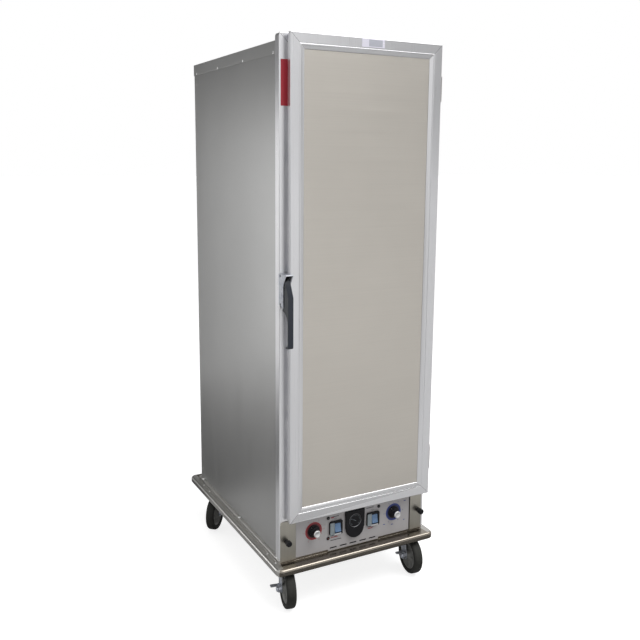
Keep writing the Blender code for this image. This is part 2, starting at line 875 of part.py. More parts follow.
def make_thumbscrews(pivots):
    """A knurled plastic head on a short stem."""
    profile = [
        (0.0, 0.0275),
        (0.0065, 0.0275),
        (0.0085, 0.0255),
        (0.0085, 0.0145),
        (0.0065, 0.0125),
        (0.0065, 0.0035),
        (0.0030, 0.0035),
        (0.0030, 0.0003),
        (0.0, 0.0003),
    ]
    for name, side in (("left_thumbscrew", -1), ("right_thumbscrew", 1)):
        frame = Matrix.Translation((side * THUMB_X, deep(FRAME_FRONT), THUMB_Z)) @ ALONG_MINUS_Y
        screw = turned(name, profile, 12, frame, BLACK)
        seat(screw, pivots[name].location, pivots[name])


def make_dials(pivots):
    """A skirted knob with a bright nose, on a shaft that passes through the panel."""
    profile = [
        (0.0, 0.0275),
        (0.0070, 0.0275),
        (0.0092, 0.0255),
        (0.0100, 0.0130),
        (0.0150, 0.0115),
        (0.0170, 0.0050),
        (0.0200, 0.0035),
        (0.0200, 0.0003),
        (0.0030, 0.0003),
        (0.0030, -0.0100),
        (0.0, -0.0100),
    ]
    for name, side in (("heat_dial", -1), ("humidity_dial", 1)):
        frame = Matrix.Translation((side * DIAL_X, deep(FRAME_FRONT), DIAL_Z)) @ ALONG_MINUS_Y
        dial = turned(name, profile, 16, frame, BLACK)
        seat(dial, pivots[name].location, pivots[name])


def rocker_outline(tilt):
    """The button from the side: a dished face between two round ends that clear the bezel."""
    reach = 0.0150
    front = deep(FRAME_FRONT) - 0.0085
    back = deep(FRAME_FRONT) - 0.0008
    centre = (front + 0.0055, ROCKER_Z)
    points = [
        (back - 0.0006, ROCKER_Z - reach + 0.0035),
        (back - 0.0006, ROCKER_Z + reach - 0.0035),
        (centre[0], ROCKER_Z + reach),
        (front + 0.0005, ROCKER_Z + reach - 0.0006),
        (front + 0.0019, ROCKER_Z),
        (front + 0.0005, ROCKER_Z - reach + 0.0006),
        (centre[0], ROCKER_Z - reach),
    ]
    turn = math.radians(tilt)
    tilted = []
    for y, z in points:
        away = (y - centre[0], z - centre[1])
        tilted.append(
            (
                centre[0] + away[0] * math.cos(turn) - away[1] * math.sin(turn),
                centre[1] + away[0] * math.sin(turn) + away[1] * math.cos(turn),
            )
        )
    return tilted


def make_switches(module, pivots):
    """Two rocker switches, each in a bezel with a raised guard on its left."""
    for name, side in (("heat", -1), ("humidity", 1)):
        middle = side * ROCKER_X
        left = middle - 0.0255
        right = middle + 0.0225
        low = ROCKER_Z - 0.0245
        high = ROCKER_Z + 0.0240
        face = -deep(FRAME_FRONT - GAP)
        outline = [
            (left + 0.004, low),
            (right - 0.003, low),
            (right, low + 0.003),
            (right, high - 0.003),
            (right - 0.003, high),
            (left + 0.004, high),
            (left, high - 0.006),
            (left, low + 0.006),
        ]
        centre = middle + ROCKER_SHIFT
        bezel_name = name + "_switch_bezel"
        outlines = [outline, switch_window(side)]
        bezel = prism(bezel_name, outlines, face, face + 0.0065, FRONT_VIEW, BLACK)
        seat(bezel, module.location, module)
        key = name + "_rocker"
        rocker = prism(
            key, [rocker_outline(-ROCKER_OFF)], centre - 0.0108, centre + 0.0108, SIDE_VIEW, BLUE
        )
        seat(rocker, pivots[key].location, pivots[key])


def make_thermometer(module):
    """A shield-shaped housing with a rounded foot."""
    left = -0.0370
    right = 0.0345
    middle = (left + right) / 2
    half = (right - left) / 2
    outline = [(left, 0.279), (left + 0.001, 0.220)]
    outline += [(middle - x, z) for x, z in arc((0, 0.2175), half - 0.003, 0, -90, 5)]
    outline += [(middle + x, z) for x, z in arc((0, 0.2175), half - 0.003, -90, 0, 5)[1:]]
    outline += [(right - 0.001, 0.220), (right, 0.279)]
    face = -deep(FRAME_FRONT - GAP)
    body = prism("thermometer", [outline], face, face + 0.008, FRONT_VIEW, BLACK)
    recess = circle((middle, 0.2440), 0.0235, 20)
    dish = prism("dish", [recess], face + 0.0060, face + 0.02, FRONT_VIEW, None, TOOLS)
    seat(cut(body, dish), module.location, module)


def make_pilot_lamps(module):
    """Three small domed lenses."""
    profile = [(0.0, 0.0032), (0.0016, 0.0028), (0.0030, 0.0014), (0.0034, 0.0003), (0.0, 0.0003)]
    places = {
        "upper_left_lamp": (-0.099, 0.270),
        "lower_left_lamp": (-0.099, 0.200),
        "upper_right_lamp": (0.093, 0.2706),
    }
    for name, (x, z) in places.items():
        frame = Matrix.Translation((x, deep(FRAME_FRONT), z)) @ ALONG_MINUS_Y
        seat(turned(name, profile, 12, frame, LAMP), module.location, module)


def element_route():
    """A sheathed heater laid in four passes across the tray, with bends between them."""
    passes = 4
    pitch = 0.042
    bend = pitch / 2
    left = -0.140
    right = 0.150
    first = 0.165
    height = 0.196
    points = [(-0.178, deep(first), height), (left, deep(first), height)]
    for index in range(passes - 1):
        depth = first + pitch * index
        side = 1 if index % 2 == 0 else -1
        edge = right if side > 0 else left
        for x, y in arc((0, 0), bend, -90, 90, 6):
            points.append((edge + side * x, deep(depth + bend + y), height))
    points.append((-0.178, deep(first + pitch * (passes - 1)), height))
    return points


def make_heater(module):
    """The element, brazed into the flange that stands it on the tray's floor."""
    element = tube("heating_element", element_route(), 0.004, DARK_STEEL)
    low = (-0.1785, deep(0.150), MODULE_FLOOR + CHASSIS_SHEET + GAP)
    high = (-0.1755, deep(0.306), 0.212)
    element = weld(element, box("flange", low, high, None, 0.0, TOOLS))
    low = (-0.1780, deep(0.150), MODULE_FLOOR + CHASSIS_SHEET + GAP)
    high = (-0.1600, deep(0.306), MODULE_FLOOR + CHASSIS_SHEET + GAP + 0.002)
    element = weld(element, box("foot", low, high, None, 0.0, TOOLS))
    seat(element, module.location, module)


def make_water_pan(pan):
    """A drawn pan that hangs by its rim on the chassis's side walls."""
    half = 0.205
    near = 0.145
    far = 0.335
    rim_low = CHASSIS_TOP + GAP
    rim = 0.0012
    depth = 0.060
    wall = 0.0012
    reach = 0.0095
    section = [
        (-reach, rim_low),
        (-reach, rim_low + rim),
        (wall, rim_low + rim),
        (wall + 0.006, rim_low - depth + 0.008),
        (wall + 0.012, rim_low - depth + wall),
    ]
    outer = [
        (0.012, rim_low - depth),
        (0.006, rim_low - depth + 0.007),
        (0.0, rim_low),
    ]
    loops = []
    for inset, height in outer[::1] + section:
        fore_and_aft = max(inset, 0.0) if inset < 0 else inset
        outline = rounded_rectangle(
            -half + inset, half - inset, deep(near) + fore_and_aft, deep(far) - fore_and_aft, 0.014, 3
        )
        loops.append([(x, y, height) for x, y in outline])
    seat(loft("water_pan", loops, False, STEEL), pan.location, pan)


# ---- blower ----
def scroll_outline(inset):
    """A spiral casing that widens towards its outlet, which opens to the front."""
    points = []
    steps = 22
    start = 0.0465
    growth = 0.0115
    for step in range(steps + 1):
        angle = math.radians(-90 - 300 * step / steps)
        radius = start + growth * step / steps - inset
        points.append((radius * math.cos(angle), radius * math.sin(angle)))
    return points


def make_blower(module, fan):
    centre = Matrix.Translation((BLOWER_X, deep(BLOWER_DEPTH), BLOWER_Z))
    across = centre @ SIDE_VIEW
    half = BLOWER_HALF_WIDTH
    wall = 0.0015
    mouth_low = -0.0462
    mouth_high = -0.0050
    mouth_y = -0.0700
    shell = prism("blower_housing", [scroll_outline(0.0)], -half, half, across, SATIN)
    mouth = rectangle(mouth_y, -0.0100, mouth_low, mouth_high)
    mouth = prism("mouth", [mouth], -half + 0.0002, half - 0.0002, across, None, TOOLS)
    shell = weld(shell, mouth, "MANIFOLD")
    axle = centre @ ALONG_X
    inlet = cylinder("inlet", 0.031, -half - 0.01, 0.0, axle, None, 16, TOOLS)
    shell = cut(shell, inlet, "MANIFOLD")
    shaft_hole = cylinder("shaft_hole", 0.0060, 0.0, half + 0.01, axle, None, 8, TOOLS)
    shell = cut(shell, shaft_hole, "MANIFOLD")
    inner = prism("inner", [scroll_outline(wall)], -half + wall, half - wall, across, None, TOOLS)
    shell = cut(shell, inner, "MANIFOLD")
    throat = rectangle(mouth_y - 0.01, -0.0080, mouth_low + wall, mouth_high - wall)
    wall += 0.0003
    throat = prism("throat", [throat], -half + wall, half - wall, across, None, TOOLS)
    shell = cut(shell, throat, "MANIFOLD")
    seat(shell, module.location, module)

    motor = turned(
        "fan_motor",
        [
            (0.0036, half + 0.001),
            (0.0036, half + 0.040),
            (0.0, half + 0.040),
            (0.0, half + 0.058),
            (0.022, half + 0.058),
            (0.027, half + 0.052),
            (0.027, half + 0.006),
            (0.012, half + 0.005),
            (0.012, half + GAP),
            (0.0036, half + GAP),
        ][::-1],
        14,
        axle,
        DARK_STEEL,
        True,
    )
    seat(motor, module.location, module)
    make_fan_wheel(axle, fan)


def make_fan_wheel(axle, fan):
    """A squirrel cage: forward-curved blades between a back plate and a front ring, on a shaft."""
    half = 0.024
    plate = [circle((0, 0), CAGE_RADIUS, 28)]
    wheel = prism("fan_wheel", plate, half - 0.0015, half, axle, SATIN)
    ring = [circle((0, 0), CAGE_RADIUS, 28), circle((0, 0), CAGE_RADIUS - 0.009, 28)]
    ring = prism("ring", ring, -half, -half + 0.002, axle, None, TOOLS)
    blades = []
    for index in range(CAGE_BLADES):
        turn = Matrix.Rotation(math.tau * index / CAGE_BLADES, 4, "Z")
        outer = arc((CAGE_RADIUS - 0.0068, -0.0040), 0.0062, -15, 95, 2)
        inner = arc((CAGE_RADIUS - 0.0068, -0.0040), 0.0048, 95, -15, 2)
        low = -half + 0.0010
        high = half - 0.0010
        blades.append(prism("blade", [outer + inner], low, high, axle @ turn, None, TOOLS))
    wheel = weld(wheel, weld(ring, joined("blades", blades), "MANIFOLD"), "MANIFOLD")
    hub = cylinder("hub", 0.008, 0.006, half - 0.0005, axle, None, 12, TOOLS)
    wheel = weld(wheel, hub, "MANIFOLD")
    shaft = cylinder("shaft", 0.003, 0.010, BLOWER_HALF_WIDTH + 0.036, axle, None, 10, TOOLS)
    seat(weld(wheel, shaft, "MANIFOLD"), fan.location, fan)


# ---- casters ----
def caster_frame(key):
    """Frame of one caster: origin on the floor under its swivel, local -Y towards its wheel."""
    front_or_rear, side = key.split("_")
    x = CASTER_X if side == "right" else -CASTER_X
    turn = Matrix.Rotation(math.radians(-CASTER_TURN[key]), 4, "Z")
    return Matrix.Translation((x, CASTER_Y[front_or_rear], 0)) @ turn


def make_caster_plate(key):
    """Top plate with its raceway, kingpin and nut."""
    place = caster_frame(key).translation
    frame = Matrix.Translation((place.x, place.y, 0))
    outline = rounded_rectangle(-0.0475, 0.0475, -0.0435, 0.0435, 0.008, 2)
    holes = []
    for x in (-0.036, 0.036):
        for y in (-0.032, 0.032):
            holes.append(circle((x, y), 0.0048, 6))
    top = CASTER_LOAD_HEIGHT
    name = key + "_caster_plate"
    plate = prism(name, [outline] + holes, top - 0.004, top, frame, ZINC)
    crown_bottom = FORK_TOP - CROWN_THICK
    profile = [
        (0.0, top - 0.001),
        (0.024, top - 0.001),
        (0.028, top - 0.006),
        (0.026, FORK_TOP + GAP),
        (0.006, FORK_TOP + GAP),
        (0.006, crown_bottom - GAP),
        (0.0095, crown_bottom - GAP),
        (0.0095, crown_bottom - 0.0055),
        (0.0, crown_bottom - 0.0055),
    ]
    weld(plate, turned("raceway", profile, 14, frame, None, False, TOOLS))


def make_fork(key, swivel):
    """A pressed yoke: a round crown and two legs that rake back to the axle."""
    frame = caster_frame(key)
    axle = (-CASTER_TRAIL, WHEEL_RADIUS)
    outline = [(0.027, FORK_TOP), (-0.027, FORK_TOP), (-0.033, 0.132)]
    outline += arc(axle, 0.013, 165, 345, 6)
    outline += [(0.027, 0.132)]
    name = key + "_fork"
    fork = prism(name, [outline], -FORK_OUTER, FORK_OUTER, frame @ SIDE_VIEW, ZINC)
    crown_bottom = FORK_TOP - CROWN_THICK
    gap = [(-0.09, 0.02), (0.06, 0.02), (0.06, crown_bottom), (-0.09, crown_bottom)]
    fork = cut(fork, prism("gap", [gap], -FORK_INNER, FORK_INNER, frame @ SIDE_VIEW, None, TOOLS))
    fork = weld(fork, cylinder("crown", 0.029, crown_bottom, FORK_TOP, frame, None, 16, TOOLS))
    fork = cut(fork, cylinder("kingpin_hole", 0.0070, 0.12, 0.16, frame, None, 10, TOOLS))
    across = frame @ Matrix.Translation((0, *axle)) @ ALONG_X
    hole = AXLE_RADIUS + GAP
    fork = cut(fork, cylinder("axle_hole", hole, -0.04, 0.04, across, None, 10, TOOLS))
    seat(fork, swivel.location, swivel)


def make_axle(key, swivel, braked):
    """A bolt through the fork, with a hexagon head and a nut."""
    across = caster_frame(key) @ Matrix.Translation((0, -CASTER_TRAIL, WHEEL_RADIUS)) @ ALONG_X
    nut = FORK_OUTER + GAP
    if braked:
        nut = 0.0317
    head = FORK_OUTER + GAP
    name = key + "_axle"
    bolt = cylinder(name, AXLE_RADIUS, -nut - 0.006, head + 0.003, across, ZINC, 10)
    for start, end in ((-nut - 0.0045, -nut), (head, head + 0.004)):
        bolt = weld(bolt, cylinder("hexagon", 0.0085, start, end, across, None, 6, TOOLS))
    seat(bolt, swivel.location, swivel)


def make_wheel(key, wheel):
    """A tyre with a crowned tread on a dished hub. Its facets touch the real radius."""
    tread = WHEEL_RADIUS / math.cos(math.pi / WHEEL_STEPS)
    half = [
        (AXLE_RADIUS + 0.0006, 0.0188),
        (0.0150, 0.0188),
        (0.0180, 0.0090),
        (0.0450, 0.0090),
        (0.0490, 0.0140),
        (0.0590, WHEEL_HALF_WIDTH),
        (tread, 0.0100),
    ]
    profile = half + [(radius, -x) for radius, x in reversed(half)]
    phase = Matrix.Rotation(math.pi / WHEEL_STEPS, 4, "Z")
    across = caster_frame(key) @ Matrix.Translation((0, -CASTER_TRAIL, WHEEL_RADIUS)) @ ALONG_X
    tyre = turned(key + "_wheel", profile, WHEEL_STEPS, across @ phase, RUBBER, True)
    seat(tyre, wheel.location, wheel)


def make_brake_lever(key, brake):
    """A cam on the axle's end, with a tab for the foot."""
    frame = caster_frame(key) @ Matrix.Translation((0, -CASTER_TRAIL, WHEEL_RADIUS))
    near = -FORK_OUTER - GAP
    boss = [circle((0, 0), 0.0110, 14), circle((0, 0), AXLE_RADIUS + GAP, 12)]
    lever = prism(key + "_brake_lever", boss, near - 0.0085, near, frame @ SIDE_VIEW, ZINC)
    strap = rectangle(-0.0070, 0.0070, 0.0090, 0.0165)
    strap = prism("strap", [strap], near - 0.0085, near - 0.0020, frame @ SIDE_VIEW, None, TOOLS)
    lever = weld(lever, strap)
    tab = rounded_rectangle(near - 0.034, near - 0.0060, -0.0070, 0.0070, 0.003, 2)
    tab = prism("tab", [tab], 0.0125, 0.0155, frame, None, TOOLS)
    seat(weld(lever, tab), brake.location, brake)


# ---- assembly ----
def axle_point(key):
    return caster_frame(key) @ Vector((0, -CASTER_TRAIL, WHEEL_RADIUS))


def make_casters():
    for key in CASTER_TURN:
        place = caster_frame(key).translation
        swivel = pivot(key + "_swivel_axis", (place.x, place.y, FORK_TOP))
        wheel = pivot(key + "_wheel_axis", axle_point(key), swivel)
        braked = key.startswith("front")
        make_caster_plate(key)
        make_fork(key, swivel)
        make_axle(key, swivel, braked)
        make_wheel(key, wheel)
        if braked:
            make_brake_lever(key, pivot(key + "_brake_axis", axle_point(key), swivel))


def make_module():
    module = pivot("module_axis", (0, deep(FRAME_FRONT), MODULE_FLOOR))
    front = deep(FRAME_FRONT)
    rocker_y = front - 0.0030
    pivots = {
        "heat_dial": (-DIAL_X, front, DIAL_Z),
        "humidity_dial": (DIAL_X, front, DIAL_Z),
        "left_thumbscrew": (-THUMB_X, front, THUMB_Z),
        "right_thumbscrew": (THUMB_X, front, THUMB_Z),
        "heat_rocker": (-ROCKER_X + ROCKER_SHIFT, rocker_y, ROCKER_Z),
        "humidity_rocker": (ROCKER_X + ROCKER_SHIFT, rocker_y, ROCKER_Z),
    }
    axes = {name: pivot(name + "_axis", place, module) for name, place in pivots.items()}
    make_chassis(module)
    make_control_panel(module)
    make_control_box(module)
    make_brackets(module)
    make_thumbscrews(axes)
    make_dials(axes)
    make_switches(module, axes)
    make_thermometer(module)
    make_pilot_lamps(module)
    make_heater(module)
    make_water_pan(pivot("water_pan_axis", (0, deep(0.24), CHASSIS_TOP), module))
    fan = pivot("fan_axis", (BLOWER_X, deep(BLOWER_DEPTH), BLOWER_Z), module)
    make_blower(module, fan)


def make_cabinet():
    make_base()
    make_side_panels()
    make_back_panel()
    make_roof_panel()
    make_rear_posts()
    make_front_frame()
    make_pan_slides()
    door = pivot("door_axis", (HINGE_X, deep(HINGE_DEPTH), DOOR_BOTTOM))
    handle = pivot("handle_axis", (HANDLE_X[0], deep(LATCH_PIVOT[0]), LATCH_PIVOT[1]), door)
    make_door(door)
    make_hinges(door)
    make_latch(door, handle)
    make_module()
    make_casters()


clear_scene()
PARTS = new_collection("proofing_cabinet")
TOOLS = new_collection("cutters")
TOOLS.hide_render = True
SATIN = surface("satin_aluminium", (0.62, 0.62, 0.60), 0.42, 1.0)
BRIGHT = surface("bright_extrusion", (0.80, 0.80, 0.81), 0.30, 1.0)
WARM = surface("door_panel_aluminium", (0.66, 0.63, 0.58), 0.45, 1.0)
STEEL = surface("stainless_steel", (0.56, 0.53, 0.48), 0.28, 1.0)
DARK_STEEL = surface("dark_steel", (0.20, 0.20, 0.21), 0.45, 1.0)
ZINC = surface("zinc_plate", (0.55, 0.57, 0.62), 0.35, 1.0)
OLIVE = surface("bracket_steel", (0.42, 0.40, 0.34), 0.40, 1.0)
OVERLAY = surface("panel_overlay", (0.72, 0.70, 0.71), 0.40, 0.0)
BLACK = surface("black_plastic", (0.03, 0.03, 0.035), 0.40, 0.0)
BLUE = surface("rocker_plastic", (0.22, 0.32, 0.42), 0.35, 0.0)
LAMP = surface("lamp_lens", (0.20, 0.03, 0.03), 0.25, 0.0)
RUBBER = surface("grey_rubber", (0.06, 0.06, 0.058), 0.65, 0.0)
make_cabinet()
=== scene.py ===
"""Looks of the mobile proofing cabinet: brushed sheet and extruded aluminium, a steel bumper base,
zinc-plated casters, a printed control panel, studio light and the camera. Metres, +Z up, -Y front."""

import json
import math

import bmesh
import bpy
from mathutils import Matrix, Vector


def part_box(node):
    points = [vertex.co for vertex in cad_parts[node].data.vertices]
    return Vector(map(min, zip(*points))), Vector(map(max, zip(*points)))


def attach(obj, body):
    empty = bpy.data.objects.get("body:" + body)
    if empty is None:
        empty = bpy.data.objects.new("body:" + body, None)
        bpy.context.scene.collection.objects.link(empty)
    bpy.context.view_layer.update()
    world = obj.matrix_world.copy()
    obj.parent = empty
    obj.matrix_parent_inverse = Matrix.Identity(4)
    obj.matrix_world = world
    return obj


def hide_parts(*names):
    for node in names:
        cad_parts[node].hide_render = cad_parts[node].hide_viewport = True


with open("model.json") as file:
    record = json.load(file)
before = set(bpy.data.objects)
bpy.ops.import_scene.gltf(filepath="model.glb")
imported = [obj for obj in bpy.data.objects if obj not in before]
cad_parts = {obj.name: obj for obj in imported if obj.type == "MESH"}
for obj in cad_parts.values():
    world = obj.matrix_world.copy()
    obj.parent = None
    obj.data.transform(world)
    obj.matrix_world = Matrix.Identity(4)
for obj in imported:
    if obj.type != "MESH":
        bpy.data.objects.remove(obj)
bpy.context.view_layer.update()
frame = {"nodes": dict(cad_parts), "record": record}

NODES = frame["nodes"]
RECORD = frame["record"]
BODY_OF = {n: b for b, names in RECORD["behaviour"]["bodies"].items() for n in names}
SLOT_OF = {entry["node"]: entry["material_slot"] for entry in RECORD["subparts"]}

# ---- places taken from the frame ----
DOOR_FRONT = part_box("door_frame")[0].y
FRAME_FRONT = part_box("front_frame")[0].y
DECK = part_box("base_frame")[1].z
DECK_STEP = 0.012
LEDGE = DECK - DECK_STEP  # the rim round the raised deck
DECK_HALF_WIDTH = 0.274
DECK_FRONT = -0.3675
DECK_REAR = 0.3865
DECK_CORNER = 0.006
BASE_SHEET = 0.003
PIVOT = {j["name"]: Vector(j["pos_m"]) for j in RECORD["behaviour"]["joints"] if "pos_m" in j}
DIALS = {name + "_dial": PIVOT[name + "_dial_turn"] for name in ("heat", "humidity")}
CORNERS = ("front_left", "front_right", "rear_left", "rear_right")

# Local X, Y and thickness of a flat shape, in world axes.
FRONT_VIEW = Matrix(((1, 0, 0, 0), (0, 0, -1, 0), (0, 1, 0, 0), (0, 0, 0, 1)))
SIDE_VIEW = Matrix(((0, 0, 1, 0), (1, 0, 0, 0), (0, 1, 0, 0), (0, 0, 0, 1)))
ALONG_X = Matrix.Rotation(math.radians(90), 4, "Y")
ALONG_MINUS_Y = Matrix.Rotation(math.radians(90), 4, "X")
ALONG_MINUS_X = Matrix.Rotation(math.radians(-90), 4, "Y")
ALONG_Y = Matrix.Rotation(math.radians(-90), 4, "X")


# ---- materials ----
def new_material(name, colour, roughness, metallic=0.0, **sockets):
    material = bpy.data.materials.new(name)
    material.use_nodes = True
    shader = material.node_tree.nodes["Principled BSDF"]
    shader.inputs["Base Color"].default_value = (*colour, 1.0)
    shader.inputs["Roughness"].default_value = roughness
    shader.inputs["Metallic"].default_value = metallic
    for socket, value in sockets.items():
        shader.inputs[socket.replace("_", " ")].default_value = value
    return material


def node(material, kind, values=None, **settings):
    """A new node of a material or the world, with its settings and the values of its sockets."""
    made = material.node_tree.nodes.new(kind)
    for key, value in settings.items():
        setattr(made, key, value)
    for socket, value in (values or {}).items():
        made.inputs[socket].default_value = value
    return made


def connect(material, source, target):
    material.node_tree.links.new(source, target)


def noise(material, scale, detail, rough, offset=0.0):
    """Noise in object space. The scale is per metre along each axis, and the offset moves the pattern."""
    place = node(material, "ShaderNodeTexCoord")
    moved = (offset, offset * 0.7, offset * 1.3)
    mapping = node(material, "ShaderNodeMapping", {"Scale": scale, "Location": moved})
    texture = node(material, "ShaderNodeTexNoise", {"Scale": 1.0, "Detail": detail, "Roughness": rough})
    connect(material, place.outputs["Object"], mapping.inputs["Vector"])
    connect(material, mapping.outputs["Vector"], texture.inputs["Vector"])
    return texture.outputs["Fac"]


def spread(material, value, low, high):
    """Maps a noise's middle range onto low..high."""
    ends = {"From Min": 0.3, "From Max": 0.7, "To Min": low, "To Max": high}
    ramp = node(material, "ShaderNodeMapRange", ends)
    connect(material, value, ramp.inputs["Value"])
    return ramp.outputs["Result"]


def tinted(material, value, dark, light, start=0.3, end=0.7):
    """Two colours blended by a value."""
    ramp = node(material, "ShaderNodeValToRGB")
    for stop, position, colour in zip(ramp.color_ramp.elements, (start, end), (dark, light)):
        stop.position = position
        stop.color = (*colour, 1.0)
    connect(material, value, ramp.inputs["Fac"])
    return ramp.outputs["Color"]


def multiply(material, first, second):
    mix = node(material, "ShaderNodeMix", {"Factor": 1.0}, data_type="RGBA", blend_type="MULTIPLY")
    connect(material, first, mix.inputs["A"])
    connect(material, second, mix.inputs["B"])
    return mix.outputs["Result"]


def combined(material, operation, first, second):
    """A maths node's result. Its first value is a socket, and its second a socket or a number."""
    maths = node(material, "ShaderNodeMath", operation=operation)
    connect(material, first, maths.inputs[0])
    if isinstance(second, float):
        maths.inputs[1].default_value = second
    else:
        connect(material, second, maths.inputs[1])
    return maths.outputs["Value"]


def feed(material, socket, value):
    """Leads a value to one of the shader's sockets."""
    connect(material, value, material.node_tree.nodes["Principled BSDF"].inputs[socket])


def bumped(material, value, strength, distance):
    """Raises the surface by a value, over a distance in metres."""
    bump = node(material, "ShaderNodeBump", {"Strength": strength, "Distance": distance})
    connect(material, value, bump.inputs["Height"])
    feed(material, "Normal", bump.outputs["Normal"])


def shade(colour, factor):
    return tuple(min(1.0, channel * factor) for channel in colour)


# brush lines per metre, across them and along them
LINES_ACROSS = 520.0
LINES_ALONG = 3.0


def brushed(name, colour, roughness, along, grain, mottle):
    """Sheet or extruded metal with fine lines along one axis and faint clouding."""
    material = new_material(name, colour, roughness, metallic=1.0)
    scale = [LINES_ACROSS] * 3
    scale["XYZ".index(along)] = LINES_ALONG
    lines = noise(material, scale, detail=4.0, rough=0.7)
    clouds = noise(material, (2.6,) * 3, detail=3.0, rough=0.6, offset=4.0)
    fine = tinted(material, lines, shade(colour, 1.0 - grain), shade(colour, 1.0 + grain))
    cloudy = tinted(material, clouds, (1.0 - mottle,) * 3, (1.0, 1.0, 1.0))
    feed(material, "Base Color", multiply(material, fine, cloudy))
    feed(material, "Roughness", spread(material, lines, roughness - 0.06, roughness + 0.06))
    bumped(material, lines, strength=0.05, distance=0.0002)
    return material


def moulded(name, colour, roughness, grain=900.0, bump=0.12, gloss=0.5):
    """Plastic with a fine moulded grain, given in pores per metre."""
    material = new_material(name, colour, roughness, Specular_IOR_Level=gloss)
    pores = noise(material, (grain,) * 3, detail=2.0, rough=0.5)
    smears = noise(material, (34.0,) * 3, detail=3.0, rough=0.6, offset=2.0)
    feed(material, "Base Color", tinted(material, smears, shade(colour, 0.86), shade(colour, 1.12)))
    feed(material, "Roughness", spread(material, smears, roughness - 0.07, roughness + 0.08))
    bumped(material, pores, strength=bump, distance=0.0002)
    return material


def plated(name, colour, roughness):
    """Zinc plate: a bluish metal with small crystals and a few dull spots."""
    material = new_material(name, colour, roughness, metallic=1.0)
    crystals = noise(material, (160.0,) * 3, detail=1.0, rough=0.4)
    dull = noise(material, (28.0,) * 3, detail=4.0, rough=0.65, offset=3.0)
    tone = tinted(material, crystals, shade(colour, 0.84), shade(colour, 1.12))
    spots = tinted(material, dull, (0.80, 0.82, 0.86), (1.0, 1.0, 1.0), start=0.36, end=0.52)
    feed(material, "Base Color", multiply(material, tone, spots))
    feed(material, "Roughness", spread(material, dull, roughness + 0.16, roughness - 0.04))
    bumped(material, crystals, strength=0.06, distance=0.0003)
    return material


def rubber(name, colour, roughness):
    """Solid rubber, dusty in places."""
    material = new_material(name, colour, roughness, Specular_IOR_Level=0.22)
    grit = noise(material, (420.0,) * 3, detail=3.0, rough=0.6)
    dust = noise(material, (38.0,) * 3, detail=4.0, rough=0.65, offset=5.0)
    feed(material, "Base Color", tinted(material, dust, shade(colour, 0.75), shade(colour, 1.5)))
    feed(material, "Roughness", spread(material, dust, roughness - 0.08, roughness + 0.1))
    bumped(material, grit, strength=0.25, distance=0.0004)
    return material


def printed(name, colour, roughness=0.42):
    """A printed film: an even colour under a matt, slightly pebbled face."""
    material = new_material(name, colour, roughness)
    material.diffuse_color = (*colour, 1.0)
    pebbles = noise(material, (1400.0,) * 3, detail=2.0, rough=0.5)
    ink = noise(material, (9.0,) * 3, detail=3.0, rough=0.5, offset=1.0)
    feed(material, "Base Color", tinted(material, ink, shade(colour, 0.96), shade(colour, 1.03)))
    feed(material, "Roughness", spread(material, ink, roughness - 0.05, roughness + 0.05))
    bumped(material, pebbles, strength=0.08, distance=0.0001)
    return material


# brushed metal: colour, roughness, the lines' axis, and how much the lines and the clouds tint it
SIDE = brushed("side_aluminium", (0.48, 0.48, 0.475), 0.40, "Z", 0.03, 0.05)
INNER = brushed("inner_aluminium", (0.58, 0.58, 0.57), 0.42, "Z", 0.04, 0.06)
FLAT = brushed("flat_aluminium", (0.50, 0.50, 0.495), 0.42, "Y", 0.04, 0.06)
PANEL = brushed("door_aluminium", (0.57, 0.540, 0.494), 0.42, "X", 0.035, 0.05)
STILE = brushed("upright_extrusion", (0.79, 0.79, 0.805), 0.32, "Z", 0.03, 0.03)
DOOR_STILE = brushed("door_extrusion", (0.69, 0.69, 0.705), 0.32, "Z", 0.03, 0.03)
RAIL = brushed("level_extrusion", (0.54, 0.54, 0.55), 0.20, "X", 0.03, 0.03)
BASE_SIDE = brushed("base_steel_side", (0.46, 0.45, 0.43), 0.32, "Y", 0.06, 0.12)
# the base's front and rear: the same steel as its sides, painted darker and browner as painted shade and a
# painted dark reflection
SHADED_BASE_END = brushed("base_steel_front_painted_shade", (0.275, 0.248, 0.213), 0.23, "X", 0.06, 0.12)
BARE_STEEL = brushed("bracket_steel", (0.44, 0.42, 0.37), 0.34, "Z", 0.07, 0.16)
SPRING_STEEL = brushed("hinge_steel", (0.56, 0.55, 0.53), 0.28, "Z", 0.05, 0.08)
DARK_METAL = brushed("dark_steel", (0.19, 0.19, 0.20), 0.45, "X", 0.08, 0.25)
# plate, rubber and plastic: colour and roughness, then a plastic's pores, their depth and its gloss
ZINC = plated("zinc_plate", (0.56, 0.58, 0.63), 0.34)
SATIN_CAST = plated("latch_casting", (0.43, 0.44, 0.47), 0.42)
TYRE = rubber("tyre_rubber", (0.026, 0.026, 0.0235), 0.68)
SEAL = rubber("gasket_vinyl", (0.80, 0.81, 0.88), 0.50)
HUB = moulded("hub_nylon", (0.20, 0.20, 0.19), 0.45, grain=500.0)
BLACK = moulded("black_plastic", (0.009, 0.009, 0.011), 0.40, gloss=0.18)
HANDLE = moulded("handle_plastic", (0.014, 0.018, 0.028), 0.34, grain=700.0, gloss=0.40)
GUARD = moulded("switch_guard", (0.24, 0.28, 0.30), 0.40)
PALE = moulded("pale_plastic", (0.55, 0.55, 0.56), 0.40)
BUTTON = moulded("rocker_plastic", (0.11, 0.20, 0.35), 0.25, grain=1200.0, bump=0.04)
NOSE = brushed("dial_cap", (0.80, 0.80, 0.80), 0.30, "Y", 0.03, 0.03)
LENS = moulded("lamp_lens", (0.10, 0.012, 0.014), 0.16, grain=1500.0, bump=0.03, gloss=0.7)
DARK_LENS = moulded("unlit_lens", (0.012, 0.010, 0.011), 0.16, grain=1500.0, bump=0.03, gloss=0.6)
FILM = printed("panel_overlay", (0.44, 0.425, 0.43))
RED_INK = printed("red_ink", (0.36, 0.035, 0.045))
